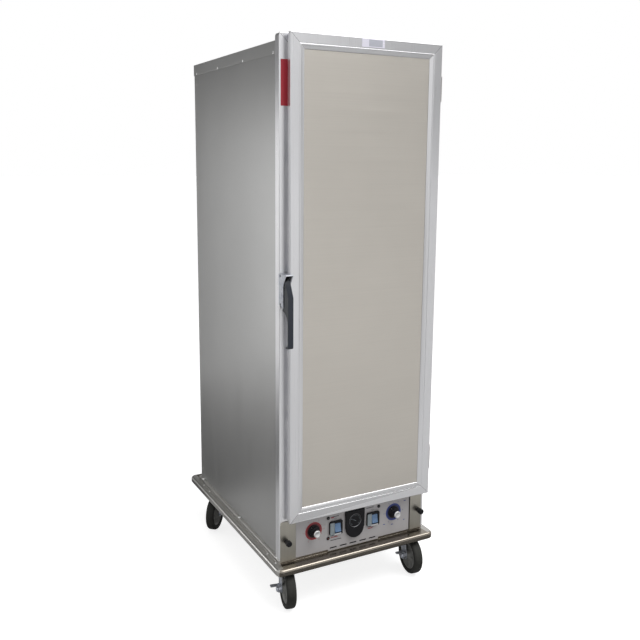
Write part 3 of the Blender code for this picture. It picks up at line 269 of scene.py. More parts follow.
BLUE_INK = printed("blue_ink", (0.035, 0.06, 0.27))
GREY_INK = printed("grey_ink", (0.055, 0.055, 0.065))
LABEL = printed("red_label", (0.48, 0.030, 0.050), 0.35)
BADGE = printed("badge_plate", (0.80, 0.78, 0.88), 0.35)
BADGE_FIELD = printed("badge_field", (0.50, 0.51, 0.57), 0.35)
SEAM = brushed("shadow_seam", (0.10, 0.10, 0.105), 0.60, "X", 0.10, 0.10)


# ---- pieces ----
SHARP = 32  # degrees: a sharper edge stays an edge in shading and is rounded by a bevel


def linked(name, mesh, material):
    """The mesh as an object of the scene, with one material or a list of them."""
    obj = bpy.data.objects.new(name, mesh)
    bpy.context.scene.collection.objects.link(obj)
    mesh.materials.clear()
    for one in material if isinstance(material, list) else [material]:
        mesh.materials.append(one)
    return obj


def built(name, bm, material, pick=None, angle=SHARP):
    """The bmesh as a smooth object. Where there are several materials, pick chooses a face's."""
    picks = [pick(face) for face in bm.faces] if pick else []
    mesh = bpy.data.meshes.new(name)
    bm.to_mesh(mesh)
    bm.free()
    obj = linked(name, mesh, material)
    for face, index in zip(mesh.polygons, picks):
        face.material_index = index
    mesh.shade_smooth()
    mesh.set_sharp_from_angle(angle=math.radians(angle))
    return obj


def final_mesh(obj):
    """The object's mesh with its modifiers applied. The object itself goes."""
    bpy.context.view_layer.update()
    mesh = bpy.data.meshes.new_from_object(obj.evaluated_get(bpy.context.evaluated_depsgraph_get()))
    bpy.data.objects.remove(obj, do_unlink=True)
    return mesh


def placed(obj, body, slot, *nodes):
    """Rides the piece on its body and hides the CAD nodes that it stands for. Its slot, the finish's name, is
    not used.
    """
    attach(obj, body)
    if nodes:
        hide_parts(*nodes)
    return obj


def edged(obj, width, segments=2):
    """Rounds the sharp edges and keeps the flat faces flat in shading."""
    bevel = obj.modifiers.new("edges", "BEVEL")
    bevel.width = width
    bevel.segments = segments
    bevel.limit_method = "ANGLE"
    bevel.angle_limit = math.radians(SHARP)
    flat = obj.modifiers.new("flat_faces", "WEIGHTED_NORMAL")
    flat.keep_sharp = True
    flat.weight = 80
    return obj


def refined(name, material, width, segments=2, pick=None, move=None):
    """A copy of a CAD node with its edges rounded to a width and its curved faces smoothed."""
    bm = bmesh.new()
    bm.from_mesh(NODES[name].data)
    for vert in bm.verts if move else ():
        move(vert.co)
    bmesh.ops.remove_doubles(bm, verts=bm.verts, dist=0.000004)
    bmesh.ops.dissolve_limit(bm, angle_limit=math.radians(0.5), verts=bm.verts, edges=bm.edges)
    obj = built(name + "_skin", bm, material, pick)
    if width:
        edged(obj, width, segments)
    return placed(obj, BODY_OF[name], SLOT_OF[name], name)


def arc(centre, radius, first, last, steps):
    """Points of an arc between two angles in degrees, counted from the right."""
    points = []
    for step in range(steps + 1):
        angle = math.radians(first + (last - first) * step / steps)
        points.append((centre[0] + radius * math.cos(angle), centre[1] + radius * math.sin(angle)))
    return points


def circle(centre, radius, steps):
    return arc(centre, radius, 0, 360, steps)[:-1]


def rectangle(left, right, bottom, top):
    return [(left, bottom), (right, bottom), (right, top), (left, top)]


def rounded_rectangle(left, right, bottom, top, radius, steps=4):
    points = []
    for x, y, start in (
        (right - radius, bottom + radius, -90),
        (right - radius, top - radius, 0),
        (left + radius, top - radius, 90),
        (left + radius, bottom + radius, 180),
    ):
        points += arc((x, y), radius, start, start + 90, steps)
    return points


def skinned(bm, rings):
    """Faces from each ring of corners to the next. A ring of one corner is a pole."""
    steps = max(len(ring) for ring in rings)
    for below, above in zip(rings, rings[1:]):
        for step in range(steps):
            after = (step + 1) % steps
            corners = [below[step % len(below)], below[after % len(below)]]
            corners += [above[after % len(above)], above[step % len(above)]]
            bm.faces.new(list(dict.fromkeys(corners)))


def lathe_mesh(bm, profile, steps, matrix, flute=None):
    """Rings of a turned profile, given as (radius, height). A flute changes each ring's radius."""
    rings = []
    for radius, height in profile:
        if radius < 1e-6:
            rings.append([bm.verts.new(matrix @ Vector((0, 0, height)))])
            continue
        ring = []
        for step in range(steps):
            angle = math.tau * step / steps
            reach = radius * (flute(angle, height) if flute else 1.0)
            spot = Vector((reach * math.cos(angle), reach * math.sin(angle), height))
            ring.append(bm.verts.new(matrix @ spot))
        rings.append(ring)
    skinned(bm, rings)


def turned(name, profile, steps, matrix, material, angle=SHARP, flute=None, closed=False):
    """A turned solid. A closed profile is a ring that joins its last point to its first."""
    bm = bmesh.new()
    lathe_mesh(bm, profile + profile[:1] if closed else profile, steps, matrix, flute)
    bmesh.ops.remove_doubles(bm, verts=bm.verts, dist=0.000002)
    bmesh.ops.recalc_face_normals(bm, faces=bm.faces)
    return built(name, bm, material, angle=angle)


def plate(name, outlines, start, end, view, material, width=0.0, segments=2):
    """A flat outline with holes, made thick from start to end along the view's third axis."""
    curve = bpy.data.curves.new(name, "CURVE")
    curve.dimensions = "2D"
    curve.fill_mode = "BOTH"
    curve.extrude = (end - start) / 2
    for outline in outlines:
        spline = curve.splines.new("POLY")
        spline.points.add(len(outline) - 1)
        for point, (across, up) in zip(spline.points, outline):
            point.co = (across, up, 0.0, 1.0)
        spline.use_cyclic_u = True
    middle = Matrix.Translation((0, 0, (start + end) / 2))
    return solidified(name, curve, view @ middle, material, width, segments)


def raised(name, outlines, face_y, height, material, view=FRONT_VIEW, width=0.0):
    """A plate that lies on a face at face_y and stands out from it to the front."""
    return plate(name, outlines, -face_y, -face_y + height, view, material, width)


def solidified(name, curve, matrix, material, width=0.0, segments=2):
    """A curve or a text as a closed mesh in world space."""
    temporary = bpy.data.objects.new(name, curve)
    bpy.context.scene.collection.objects.link(temporary)
    mesh = final_mesh(temporary)
    mesh.transform(matrix)
    bm = bmesh.new()
    bm.from_mesh(mesh)
    bpy.data.meshes.remove(mesh)
    bmesh.ops.remove_doubles(bm, verts=bm.verts, dist=0.000003)
    bmesh.ops.dissolve_limit(bm, angle_limit=math.radians(0.5), verts=bm.verts, edges=bm.edges)
    bmesh.ops.recalc_face_normals(bm, faces=bm.faces)
    obj = built(name, bm, material)
    if width:
        edged(obj, width, segments)
    return obj


def merged(name, objects, body, slot):
    """Several small pieces of one material as one object."""
    bm = bmesh.new()
    material = objects[0].data.materials[0]
    for obj in objects:
        mesh = final_mesh(obj)
        bm.from_mesh(mesh)
        bpy.data.meshes.remove(mesh)
    return placed(built(name, bm, material), body, slot)


def dome(radius, height):
    """Profile of a rivet's or screw's head: a low wall under a dome, resting on height 0."""
    steps = 5
    points = [(radius, 0.0), (radius, height * 0.25)]
    for step in range(1, steps):
        angle = math.radians(90 * step / steps)
        points.append((radius * math.cos(angle), height * (0.25 + 0.75 * math.sin(angle))))
    return points + [(0.0, height)]


def rivets(name, spots, matrix, radius, height, material, body, slot):
    """One object with a domed head at each spot."""
    bm = bmesh.new()
    for spot in spots:
        lathe_mesh(bm, dome(radius, height), 16, Matrix.Translation(spot) @ matrix)
    bmesh.ops.recalc_face_normals(bm, faces=bm.faces)
    return placed(built(name, bm, material, angle=50), body, slot)


def screws(name, spots, matrix, radius, height, material, body, slot):
    """Machine screws with a cross recess sunk in each head."""
    heads = []
    for index, spot in enumerate(spots):
        place = Matrix.Translation(spot) @ matrix
        head = turned("head", dome(radius, height), 20, place, material, angle=50)
        depth = height * 0.6
        arm = radius * 0.55
        slim = radius * 0.13
        turn = Matrix.Rotation(0.5 + index * 0.9, 4, "Z")
        cross = [(slim, -arm), (slim, -slim), (arm, -slim), (arm, slim), (slim, slim), (slim, arm)]
        cross += [(-x, -y) for x, y in cross]
        tool = plate("tool", [cross], height - depth, height + 0.01, place @ turn, material)
        cut = head.modifiers.new("recess", "BOOLEAN")
        cut.operation = "DIFFERENCE"
        cut.object = tool
        cut.solver = "EXACT"
        heads.append(linked("head", final_mesh(head), material))
        bpy.data.objects.remove(tool, do_unlink=True)
    return merged(name, heads, body, slot)


INK_MIDDLE = 0.00006  # how far before the panel a mark's middle lies
INK_HALF = 0.00004  # half of a mark's thickness
OVERLAY = ("heater_module", "panel_overlay")  # body and finish of what is printed on the panel
FITTING = ("heater_module", "black_plastic")


def lettering(name, words, ink):
    """Short marks on the control panel, each given as its text, x, height and size."""
    made = []
    for text, x, z, size in words:
        curve = bpy.data.curves.new(name, "FONT")
        curve.body = text
        curve.size = size
        curve.align_x = curve.align_y = "CENTER"
        curve.extrude = INK_HALF
        curve.resolution_u = 3
        place = Matrix.Translation((x, FRAME_FRONT - INK_MIDDLE, z))
        made.append(solidified("mark", curve, place @ FRONT_VIEW, ink))
    merged(name, made, *OVERLAY)


# ---- cabinet ----
BACK = 1  # the numbers of the Y and the Z axis
UP = 2
FRAME_BAR = 0.041  # width of the front frame's bars
DOOR_BAR = 0.0462
ROOF_RIVET = (0.0036, 0.0016)  # radius and height of its head
WALL_RIVET = (0.003, 0.0011)
WALL_IN_ROOF = 0.9933  # the walls' width as a share of the roof's, whose flanges lie outside them
WALL_ROWS = [0.20 + 0.1845 * step for step in range(9)]


def end_picker(node_name, axis, reach):
    """Picks the second material near a node's ends along an axis, where they are nearer than its sides."""
    low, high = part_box(node_name)

    def pick(face):
        spot = face.calc_center_median()
        side = min(spot.x - low.x, high.x - spot.x)
        end = min(spot[axis] - low[axis], high[axis] - spot[axis])
        return 1 if end < reach and end < side else 0

    return pick


def make_body():
    for name in ("left_side_panel", "right_side_panel"):
        refined(name, SIDE, 0.0004)
    refined("back_panel", SIDE, 0.0)
    refined("roof_panel", FLAT, 0.0008, segments=3)
    for name in ("left_rear_post", "right_rear_post"):
        refined(name, INNER, 0.0004)
    for name in ("left_pan_slides", "right_pan_slides"):
        refined(name, INNER, 0.0)
    pick = end_picker("front_frame", UP, FRAME_BAR)
    refined("front_frame", [STILE, RAIL], 0.0007, segments=3, pick=pick)
    refined("latch_strike", SPRING_STEEL, 0.0003)


def make_body_rivets():
    """Rows of heads on the roof's flanges, on the walls at the rear posts, and down the back."""

    def row(name, places, turn, size, metal):
        rivets(name, places, turn, *size, metal, "cabinet", "satin_aluminium")

    roof_low, roof_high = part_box("roof_panel")
    flange = roof_low.z + 0.0056
    for side, x, turn in (("left", roof_low.x, ALONG_MINUS_X), ("right", roof_high.x, ALONG_X)):
        places = [(x, y, flange) for y in (-0.314, -0.085, 0.138, 0.350)]
        row(side + "_roof_rivets", places, turn, ROOF_RIVET, NOSE)
        row(side + "_post_rivets", [(x * WALL_IN_ROOF, 0.362, z) for z in WALL_ROWS], turn, WALL_RIVET, SIDE)
    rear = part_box("back_panel")[1].y
    places = [(x, rear, z) for x in (-0.249, 0.249) for z in WALL_ROWS]
    row("back_rivets", places, ALONG_Y, WALL_RIVET, SIDE)
    places = [(x, roof_high.y, flange) for x in (-0.21, -0.07, 0.07, 0.21)]
    row("rear_roof_rivets", places, ALONG_Y, ROOF_RIVET, NOSE)


# ---- base ----
RIM_CORNER = 0.022
ROLL = 0.008  # radius of the ledge's rolled edge
HEM = 0.006  # radius of the rim's lower edge
LIP = 0.014  # the hem's reach under the rim
DECK_EDGE = 0.0015
END_DEPTH = 0.045  # how far in from the front and rear the steel is brushed across and painted darker as shade
CHANNEL_END = 0.270
CHANNEL_FOOT = 0.144
CHANNELS = ((-0.3642, -0.2785), (0.224, 0.324))  # front and rear of each
BODY_BOLTS = (0.2692, (-0.346, -0.031, 0.343))  # distance from the middle, and places along the deck
LEDGE_BOLTS = (0.2785, (-0.026, 0.038))  # distance from the middle, and places from the swivel


def level_loop(half_width, front, rear, corner, inset, height):
    """A rounded rectangle at one height, drawn in by the inset."""
    side = half_width - inset
    outline = rounded_rectangle(-side, side, front + inset, rear - inset, corner - inset, 6)
    return [(x, y, height) for x, y in outline]


def deck_loop(inset, height):
    return level_loop(DECK_HALF_WIDTH, DECK_FRONT, DECK_REAR, DECK_CORNER, inset, height)


def lofted(name, loops, material, pick):
    """A closed skin through level loops of equal length, with a lid on the first and the last."""
    bm = bmesh.new()
    rings = [[bm.verts.new(point) for point in loop] for loop in loops]
    skinned(bm, rings)
    bm.faces.new(rings[0])
    bm.faces.new(rings[-1])
    bmesh.ops.recalc_face_normals(bm, faces=bm.faces)
    return built(name, bm, material, pick)


def make_base():
    """The pressed base: a raised deck, a vertical step and a lower rim with a rolled edge."""
    low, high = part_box("base_frame")
    foot = low.z
    rim = [(ROLL - x, z) for x, z in arc((0.0, LEDGE - ROLL), ROLL, 90, 0, 8)]
    rim += [(HEM - x, z) for x, z in arc((0.0, foot + HEM), HEM, 0, -90, 5)]
    rim += [(LIP, foot), (LIP, foot + BASE_SHEET), (HEM + 0.0015, foot + BASE_SHEET)]
    rim += [(BASE_SHEET, foot + HEM + 0.0015), (BASE_SHEET, LEDGE - ROLL - 0.0005)]
    rim += [(ROLL + 0.0005, LEDGE - BASE_SHEET)]
    loops = [deck_loop(DECK_EDGE, DECK), deck_loop(0.0, DECK - DECK_EDGE), deck_loop(0.0, LEDGE)]
    loops += [level_loop(high.x, low.y, high.y, RIM_CORNER, inset, height) for inset, height in rim]
    loops += [deck_loop(BASE_SHEET, LEDGE - BASE_SHEET), deck_loop(BASE_SHEET, DECK - BASE_SHEET)]
    # the front and rear ends take the darker copy of the steel, which is painted shade
    pan = lofted("base_pan", loops, [BASE_SIDE, SHADED_BASE_END], end_picker("base_frame", BACK, END_DEPTH))
    placed(edged(pan, 0.0005), "cabinet", SLOT_OF["base_frame"], "base_frame")


def make_base_channels():
    """Two channels under the deck, open below. The casters' plates hang from their webs."""
    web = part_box("front_left_caster_plate")[1].z + 0.0003
    foot = CHANNEL_FOOT
    top = DECK - 0.0028
    channels = []
    for front, rear in CHANNELS:
        outline = [(front, foot), (front + BASE_SHEET, foot), (front + BASE_SHEET, web)]
        outline += [(rear - BASE_SHEET, web), (rear - BASE_SHEET, foot), (rear, foot)]
        outline += [(rear, top), (front, top)]
        channels.append(plate("channel", [outline], -CHANNEL_END, CHANNEL_END, SIDE_VIEW, BASE_SIDE, 0.0006))
    merged("base_channels", channels, "cabinet", SLOT_OF["base_frame"])


def make_base_fixings():
    """Bolt heads on the deck beside the body, and the casters' bolt heads on the ledge below it."""
    level = Matrix.Identity(4)
    half, steps = BODY_BOLTS
    for side, x in (("left", -half), ("right", half)):
        places = [(x, y, DECK) for y in steps]
        rivets(side + "_body_bolts", places, level, 0.0054, 0.0034, NOSE, "cabinet", "zinc_plate")
    half, steps = LEDGE_BOLTS
    for key in CORNERS:
        spot = PIVOT[key + "_swivel"]
        places = [(math.copysign(half, spot.x), spot.y + step, LEDGE) for step in steps]
        rivets(key + "_ledge_bolts", places, level, 0.0032, 0.0018, NOSE, "cabinet", "zinc_plate")


def make_label():
    """The bare red plate on the left stile."""
    outline = rounded_rectangle(-0.2678, -0.2443, 1.561, 1.690, 0.0012)
    label = raised("red_label", [outline], FRAME_FRONT, 0.0005, LABEL, width=0.0001)
    placed(label, "cabinet", "panel_overlay")


def mitre(name, corner, direction, length, face_y, body):
    """A hairline joint across a frame's corner."""
    half = 0.00035
    outline = rectangle(0.0006, length, -half, half)
    turn = Matrix.Rotation(-math.atan2(direction[1], direction[0]), 4, "Y")
    view = Matrix.Translation((corner[0], 0, corner[1])) @ turn @ FRONT_VIEW
    placed(raised(name, [outline], face_y, 0.00006, SEAM, view), body, "bright_extrusion")


# ---- door ----
DOOR_MITRE = 0.0459 * math.sqrt(2) * 0.63  # the part of a corner's diagonal that shows
FRAME_MITRE = 0.050
BADGE_THICKNESS = 0.0008


def make_door():
    pick = end_picker("door_frame", UP, DOOR_BAR)
    refined("door_frame", [DOOR_STILE, RAIL], 0.0003, pick=pick)
    refined("door_panel", PANEL, 0.0)
    refined("door_gasket", SEAL, 0.0)
    low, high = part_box("door_frame")
    for end, z, rise in (("top", high.z, -1), ("bottom", low.z, 1)):
        for side, x, way in (("left", low.x, 1), ("right", high.x, -1)):
            mitre(f"door_mitre_{end}_{side}", (x, z), (way, rise), DOOR_MITRE, DOOR_FRONT, "door")
    low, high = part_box("front_frame")
    for side, x, way in (("left", low.x, 1), ("right", high.x, -1)):
        mitre("frame_mitre_" + side, (x, high.z), (way, -1), FRAME_MITRE, FRAME_FRONT, "cabinet")
    for name in NODES:
        if "hinge" in name:
            refined(name, SPRING_STEEL, 0.0004)


def make_badge():
    """The bare nameplate on the door's top rail, held by two pins."""
    outline = rounded_rectangle(-0.0185, 0.061, 1.737, 1.7622, 0.002)
    badge = raised("badge_plate", [outline], DOOR_FRONT, BADGE_THICKNESS, BADGE, width=0.0003)
    placed(badge, "door", "bright_extrusion")
    face = DOOR_FRONT - BADGE_THICKNESS
    outline = rounded_rectangle(0.006, 0.053, 1.740, 1.7592, 0.001)
    placed(raised("badge_field", [outline], face, 0.0001, BADGE_FIELD), "door", "bright_extrusion")
    places = [(x, face, 1.7496) for x in (-0.015, 0.0575)]
    rivets("badge_pins", places, ALONG_MINUS_Y, 0.0014, 0.0008, NOSE, "door", "bright_extrusion")


def make_latch():
    """The latch's housing with two cross-head screws, and its handle."""
    refined("latch_body", SATIN_CAST, 0.0012, segments=3)
    refined("latch_handle", HANDLE, 0.0022, segments=4)
    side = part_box("latch_body")[0].x
    places = [(side, -0.384, z) for z in (0.988, 1.0728)]
    screws("latch_screws", places, ALONG_MINUS_X, 0.0036, 0.0012, DARK_METAL, "door", "dark_steel")


# ---- heater module ----
def make_module():
    refined("module_chassis", FLAT, 0.0004)
    refined("control_box", FLAT, 0.0004)
    refined("left_bracket", BARE_STEEL, 0.0007, segments=3, move=lowered)
    refined("right_bracket", BARE_STEEL, 0.0007, segments=3, move=widened)
    refined("heating_element", DARK_METAL, 0.0)
    refined("blower_housing", INNER, 0.0004)
    refined("fan_motor", DARK_METAL, 0.0006)
    refined("fan_wheel", INNER, 0.0)
    refined("water_pan", SPRING_STEEL, 0.0003)
    for name in ("heat_switch_bezel", "humidity_switch_bezel"):
        refined(name, BLACK, 0.001, segments=3)
    for name in ("heat_rocker", "humidity_rocker"):
        refined(name, BUTTON, 0.001, segments=3)
    refined("thermometer", BLACK, 0.0012, segments=3)


def lowered(spot):
    """A bracket's lower edge goes down past the deck's edge."""
    if spot.z < DECK + 0.002:
        spot.z = DECK - 0.004


# the right bracket's face: its inner and outer edges begin here, and its hole ends at this reach
FACE_INNER = 0.2235
FACE_OUTER = 0.244
HOLE_REACH = 0.006


def widened(spot):
    """The right bracket's face moves outwards at both edges, and its screw hole stays."""
    lowered(spot)
    screw = PIVOT["right_thumbscrew_turn"]
    if spot.x < FACE_INNER and spot.y < FRAME_FRONT:
        spot.x = 0.2178
    if spot.x > FACE_OUTER and math.hypot(spot.x - screw.x, spot.z - screw.z) > HOLE_REACH:
        spot.x += 0.0084


# the control panel's tongue and the air slots in it
TONGUE = (-0.098, 0.093)
SLOT_LENGTH = 0.027
SLOT_HALF = 0.0026
SLOT_HEIGHT = 0.1642
SLOT_STARTS = [-0.0925 + 0.0372 * step for step in range(5)]
SHEET = 0.002


def slot_outline(left, right, height, half):
    return arc((right - half, height), half, -90, 90, 6) + arc((left + half, height), half, 90, 270, 6)


def make_control_panel():
    """The printed front plate. A tongue with five air slots hangs before the base's step, with a black strip
    of painted shadow behind the slots.
    """
    half, _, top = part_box("control_panel")[1]
    edge = DECK - 0.0025
    tip = LEDGE + 0.0035
    left, right = TONGUE
    outline = [(-half, edge), (left, edge), (left, tip), (right, tip)]
    outline += [(right, edge), (half, edge), (half, top), (-half, top)]
    holes = [slot_outline(x, x + SLOT_LENGTH, SLOT_HEIGHT, SLOT_HALF) for x in SLOT_STARTS]
    for name in ("heat_switch_bezel", "humidity_switch_bezel"):
        low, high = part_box(name)
        middle = (low.x + high.x) / 2 + 0.0055
        holes.append(rounded_rectangle(middle - 0.0113, middle + 0.0113, 0.2165, 0.2495, 0.001))
    for spot in DIALS.values():
        holes.append(circle((spot.x, spot.z), 0.0036, 24))
    front = -FRAME_FRONT
    sheet = plate("control_panel_sheet", [outline] + holes, front - SHEET, front, FRONT_VIEW, FILM, 0.0003)
    placed(sheet, *OVERLAY, "control_panel")
    # a black strip behind the slots is painted shadow: it darkens the slots, where there is only shade
    strip = rectangle(left + 0.0015, right - 0.0015, tip + 0.001, 0.172)
    shadow = plate("slot_painted_shadow", [strip], front - SHEET - 0.0003, front - SHEET - 0.0001, FRONT_VIEW, BLACK)
    placed(shadow, *FITTING)


def make_thermostats():
    """The black switch behind each dial, with a neck through the panel."""
    profile = [(0.0, -0.034), (0.018, -0.034), (0.019, -0.033), (0.019, -0.0022), (0.0042, -0.0022)]
    profile += [(0.0042, -0.012), (0.0, -0.012)]
    for name, spot in DIALS.items():
        place = Matrix.Translation(spot) @ ALONG_MINUS_Y
        placed(turned(name.replace("dial", "thermostat"), profile, 48, place, BLACK), *FITTING)


def fluted(count, depth, low, high):
    """A knurl: the radius dips count times round the knob between two heights."""

    def flute(angle, height):
        if low <= height <= high:
            return 1.0 - depth * (0.5 - 0.5 * math.cos(count * angle))
        return 1.0

    return flute


def make_dials():
    """Knobs with a black skirt, a fluted grip and a bright cap."""
    skirt = [(0.020, 0.0003), (0.020, 0.003), (0.0194, 0.0038), (0.0168, 0.0052)]
    skirt += [(0.0158, 0.0108), (0.0152, 0.0116), (0.0136, 0.0122), (0.0128, 0.0132)]
    skirt += [(0.0124, 0.019), (0.0121, 0.023), (0.0112, 0.0238), (0.0, 0.0238)]
    cap = [(0.0116, 0.023), (0.0119, 0.0246), (0.0117, 0.026), (0.0106, 0.0271), (0.0094, 0.0275)]
    cap += [(0.0084, 0.0271), (0.0, 0.0268)]
    shaft = [(0.0, -0.010), (0.003, -0.010), (0.003, 0.0003)]
    grip = fluted(24, 0.06, 0.005, 0.012)
    for name, spot in DIALS.items():
        place = Matrix.Translation(spot) @ ALONG_MINUS_Y
        knob = turned(name + "_knob", shaft + skirt, 96, place, BLACK, 30, grip)
        placed(knob, name, "black_plastic", name)
        placed(turned(name + "_cap", cap, 48, place, NOSE, 30), name, "bright_extrusion")
        pointing = place @ Matrix.Rotation(math.radians(35), 4, "Z")
        outline = rectangle(-0.0006, 0.0006, 0.013, 0.0192)
        placed(plate(name + "_pointer", [outline], 0.0036, 0.0054, pointing, NOSE), name, "bright_extrusion")


def make_thumbscrews():
    """Black screws with a knurled head, one in each bracket."""
    profile = [(0.0, 0.0003), (0.003, 0.0003), (0.003, 0.0036), (0.0078, 0.0036), (0.0078, 0.012)]
    profile += [(0.0082, 0.0132), (0.0095, 0.0146), (0.0095, 0.025), (0.009, 0.0262)]
    profile += [(0.0076, 0.0274), (0.0058, 0.0275), (0.0052, 0.0268), (0.0, 0.0266)]
    for name in ("left_thumbscrew", "right_thumbscrew"):
        place = Matrix.Translation(PIVOT[name + "_turn"]) @ ALONG_MINUS_Y
        screw = turned(name + "_head", profile, 72, place, BLACK, 30, fluted(18, 0.09, 0.014, 0.0256))
        placed(screw, name, "black_plastic", name)


def make_lamps():
    """Three pilot lamps, each a domed lens in a black rim."""
    lens = [(0.003, 0.0003), (0.003, 0.0016), (0.0026, 0.0026), (0.0016, 0.0031), (0.0, 0.0033)]
    rim = [(0.0029, 0.0003), (0.0058, 0.0003), (0.0058, 0.0012), (0.0048, 0.002), (0.0029, 0.0018)]
    for name in ("upper_left_lamp", "lower_left_lamp", "upper_right_lamp"):
        low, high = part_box(name)
        spot = ((low.x + high.x) / 2, FRAME_FRONT, (low.z + high.z) / 2)
        place = Matrix.Translation(spot) @ ALONG_MINUS_Y
        glass = LENS if name.startswith("lower") else DARK_LENS
        placed(turned(name + "_lens", lens, 32, place, glass, 40), "heater_module", "lamp_lens", name)
        placed(turned(name + "_rim", rim, 32, place, BLACK, 30, closed=True), *FITTING)


def faded(name, ink, x, z):
    """An ink that fades from its own colour at the ring's edge to black at the dial."""
    colour = ink.diffuse_color[:3]
    material = printed(name + "_fade", colour)
    place = node(material, "ShaderNodeTexCoord")
    middle = node(material, "ShaderNodeVectorMath", {1: (x, 0.0, z)}, operation="SUBTRACT")
    flat = node(material, "ShaderNodeVectorMath", {1: (1.0, 0.0, 1.0)}, operation="MULTIPLY")
    away = node(material, "ShaderNodeVectorMath", operation="LENGTH")
    connect(material, place.outputs["Object"], middle.inputs[0])
    connect(material, middle.outputs["Vector"], flat.inputs[0])
    connect(material, flat.outputs["Vector"], away.inputs[0])
    fade = tinted(material, away.outputs["Value"], (0.012, 0.010, 0.012), colour, 0.0195, 0.029)
    feed(material, "Base Color", fade)
    return material


# plain bars where the panel has small print: left end, height and length
LEGENDS = (
    ("grey", GREY_INK, (
        (-0.089, 0.2695, 0.030), (-0.089, 0.206, 0.032), (0.045, 0.2715, 0.028), (-0.090, 0.189, 0.040),
    )),
    ("red", RED_INK, (
        (-0.089, 0.2665, 0.012), (-0.089, 0.199, 0.026), (0.052, 0.204, 0.026), (0.052, 0.1985, 0.018),
    )),
    ("blue", BLUE_INK, (
        (0.112, 0.199, 0.008), (0.143, 0.193, 0.010), (0.193, 0.200, 0.006), (0.193, 0.268, 0.008),
    )),
)
PRINT = 0.0001  # thickness of a printed bar
SCALE_RING = (0.030, 0.019)  # outer and inner radius
TICK = (0.0312, 0.0338)  # where a tick starts and ends, from the dial's middle
NUMBERS_AT = 0.0378
NUMBER_SIZE = 0.0062
WORD_SIZE = 0.006


def dial_view(x, z, angle):
    """Where a mark drawn above a dial's middle goes, turned to an angle counted from the right."""
    turn = Matrix.Rotation(math.radians(90) - angle, 4, "Y")
    return Matrix.Translation((x, 0, z)) @ turn @ FRONT_VIEW


def make_scales():
    """Round each dial, a faded ring, eleven ticks and the even numbers from 0 to 10."""
    for name, ink in (("heat", RED_INK), ("humidity", BLUE_INK)):
        x, _, z = DIALS[name + "_dial"]
        rings = [circle((x, z), radius, 64) for radius in SCALE_RING]
        placed(raised(name + "_scale_ring", rings, FRAME_FRONT, 0.00012, faded(name, ink, x, z)), *OVERLAY)
        bar = rectangle(-0.0004, 0.0004, *TICK)
        ticks = []
        words = []
        for step in range(11):
            angle = math.radians(240 - 30 * step)
            ticks.append(raised("tick", [bar], FRAME_FRONT, PRINT, ink, dial_view(x, z, angle)))
            if step % 2 == 0:
                across = x + NUMBERS_AT * math.cos(angle)
                words.append((str(step), across, z + NUMBERS_AT * math.sin(angle), NUMBER_SIZE))
        merged(name + "_scale_ticks", ticks, *OVERLAY)
        lettering(name + "_scale_numbers", words, ink)


def make_legends():
    """The marks of the two switches, and the plain bars."""
    words = []
    for x in (-0.072, 0.069):
        words += [("ON", x, 0.2635, WORD_SIZE), ("OFF", x, 0.2025, WORD_SIZE)]
    lettering("switch_marks", words, GREY_INK)
    for key, ink, bars in LEGENDS:
        made = []
        for x, z, length in bars:
            outline = rounded_rectangle(x, x + length, z, z + 0.0026, 0.0004, 1)
            made.append(raised("bar", [outline], FRAME_FRONT, PRINT, ink))
        merged(key + "_legend_bars", made, *OVERLAY)


def make_switch_details():
    """On each switch: the clear guard at the left of its bezel and the pale lip under its button."""
    face = 0.0068 - FRAME_FRONT
    for name, middle in (("heat", -0.0705), ("humidity", 0.0705)):
        outline = rounded_rectangle(middle - 0.0245, middle - 0.0085, 0.2115, 0.253, 0.0015)
        guard = plate(name + "_guard", [outline], face - 0.0003, face + 0.0016, FRONT_VIEW, GUARD, 0.0005)
        placed(guard, *FITTING)
        outline = rounded_rectangle(middle - 0.012, middle + 0.017, 0.2095, 0.2145, 0.0012)
        lip = plate(name + "_lip", [outline], face - 0.0003, face + 0.0012, FRONT_VIEW, PALE, 0.0004)
        placed(lip, *FITTING)


def make_thermometer_face():
    """A dial window with a graduated ring and a needle, under the hood of the housing."""
    middle = -0.00125
    height = 0.244
    floor = -(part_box("thermometer")[0].y + 0.002)
    dish = [(0.0226, -0.0006), (0.0232, 0.0008), (0.0222, 0.0014), (0.0212, 0.0004), (0.021, -0.0006)]
    place = Matrix.Translation((middle, -floor, height)) @ ALONG_MINUS_Y
    placed(turned("thermometer_rim", dish, 64, place, DARK_METAL, 30, closed=True), *FITTING)
    ticks = []
    for step in range(21):
        view = dial_view(middle, height, math.radians(225 - 13.5 * step))
        inner = 0.015 if step % 5 == 0 else 0.0172
        bar = rectangle(-0.00035, 0.00035, inner, 0.0192)
        ticks.append(plate("tick", [bar], floor - 0.0002, floor + 0.0001, view, GUARD))
    merged("thermometer_ticks", ticks, *FITTING)
    needle = [(-0.0006, -0.004), (0.0006, -0.004), (0.0002, 0.0165), (-0.0002, 0.0165)]
    view = dial_view(middle, height, math.radians(152))
    placed(plate("thermometer_needle", [needle], floor + 0.0002, floor + 0.0006, view, GUARD), *FITTING)


# ---- casters ----
WHEEL_RADIUS = 0.0635
CASTER_TRAIL = 0.038
PLATE_SIDE = 0.2705  # the casters' plates end here, inside the raised deck
PLATE_FRONT = -0.364


def caster_frame(key):
    """Frame of one caster: origin on the floor under its swivel, local -Y towards its wheel."""
    swivel = PIVOT[key + "_swivel"]
    away = swivel - PIVOT[key + "_wheel_spin"]
    turn = math.atan2(away.x, away.y)
    return Matrix.Translation((swivel.x, swivel.y, 0)) @ Matrix.Rotation(-turn, 4, "Z")


def mirrored(half):
    """A turned profile and its mirror image on the other side of the wheel's middle."""
    return half + [(radius, -x) for radius, x in reversed(half)]


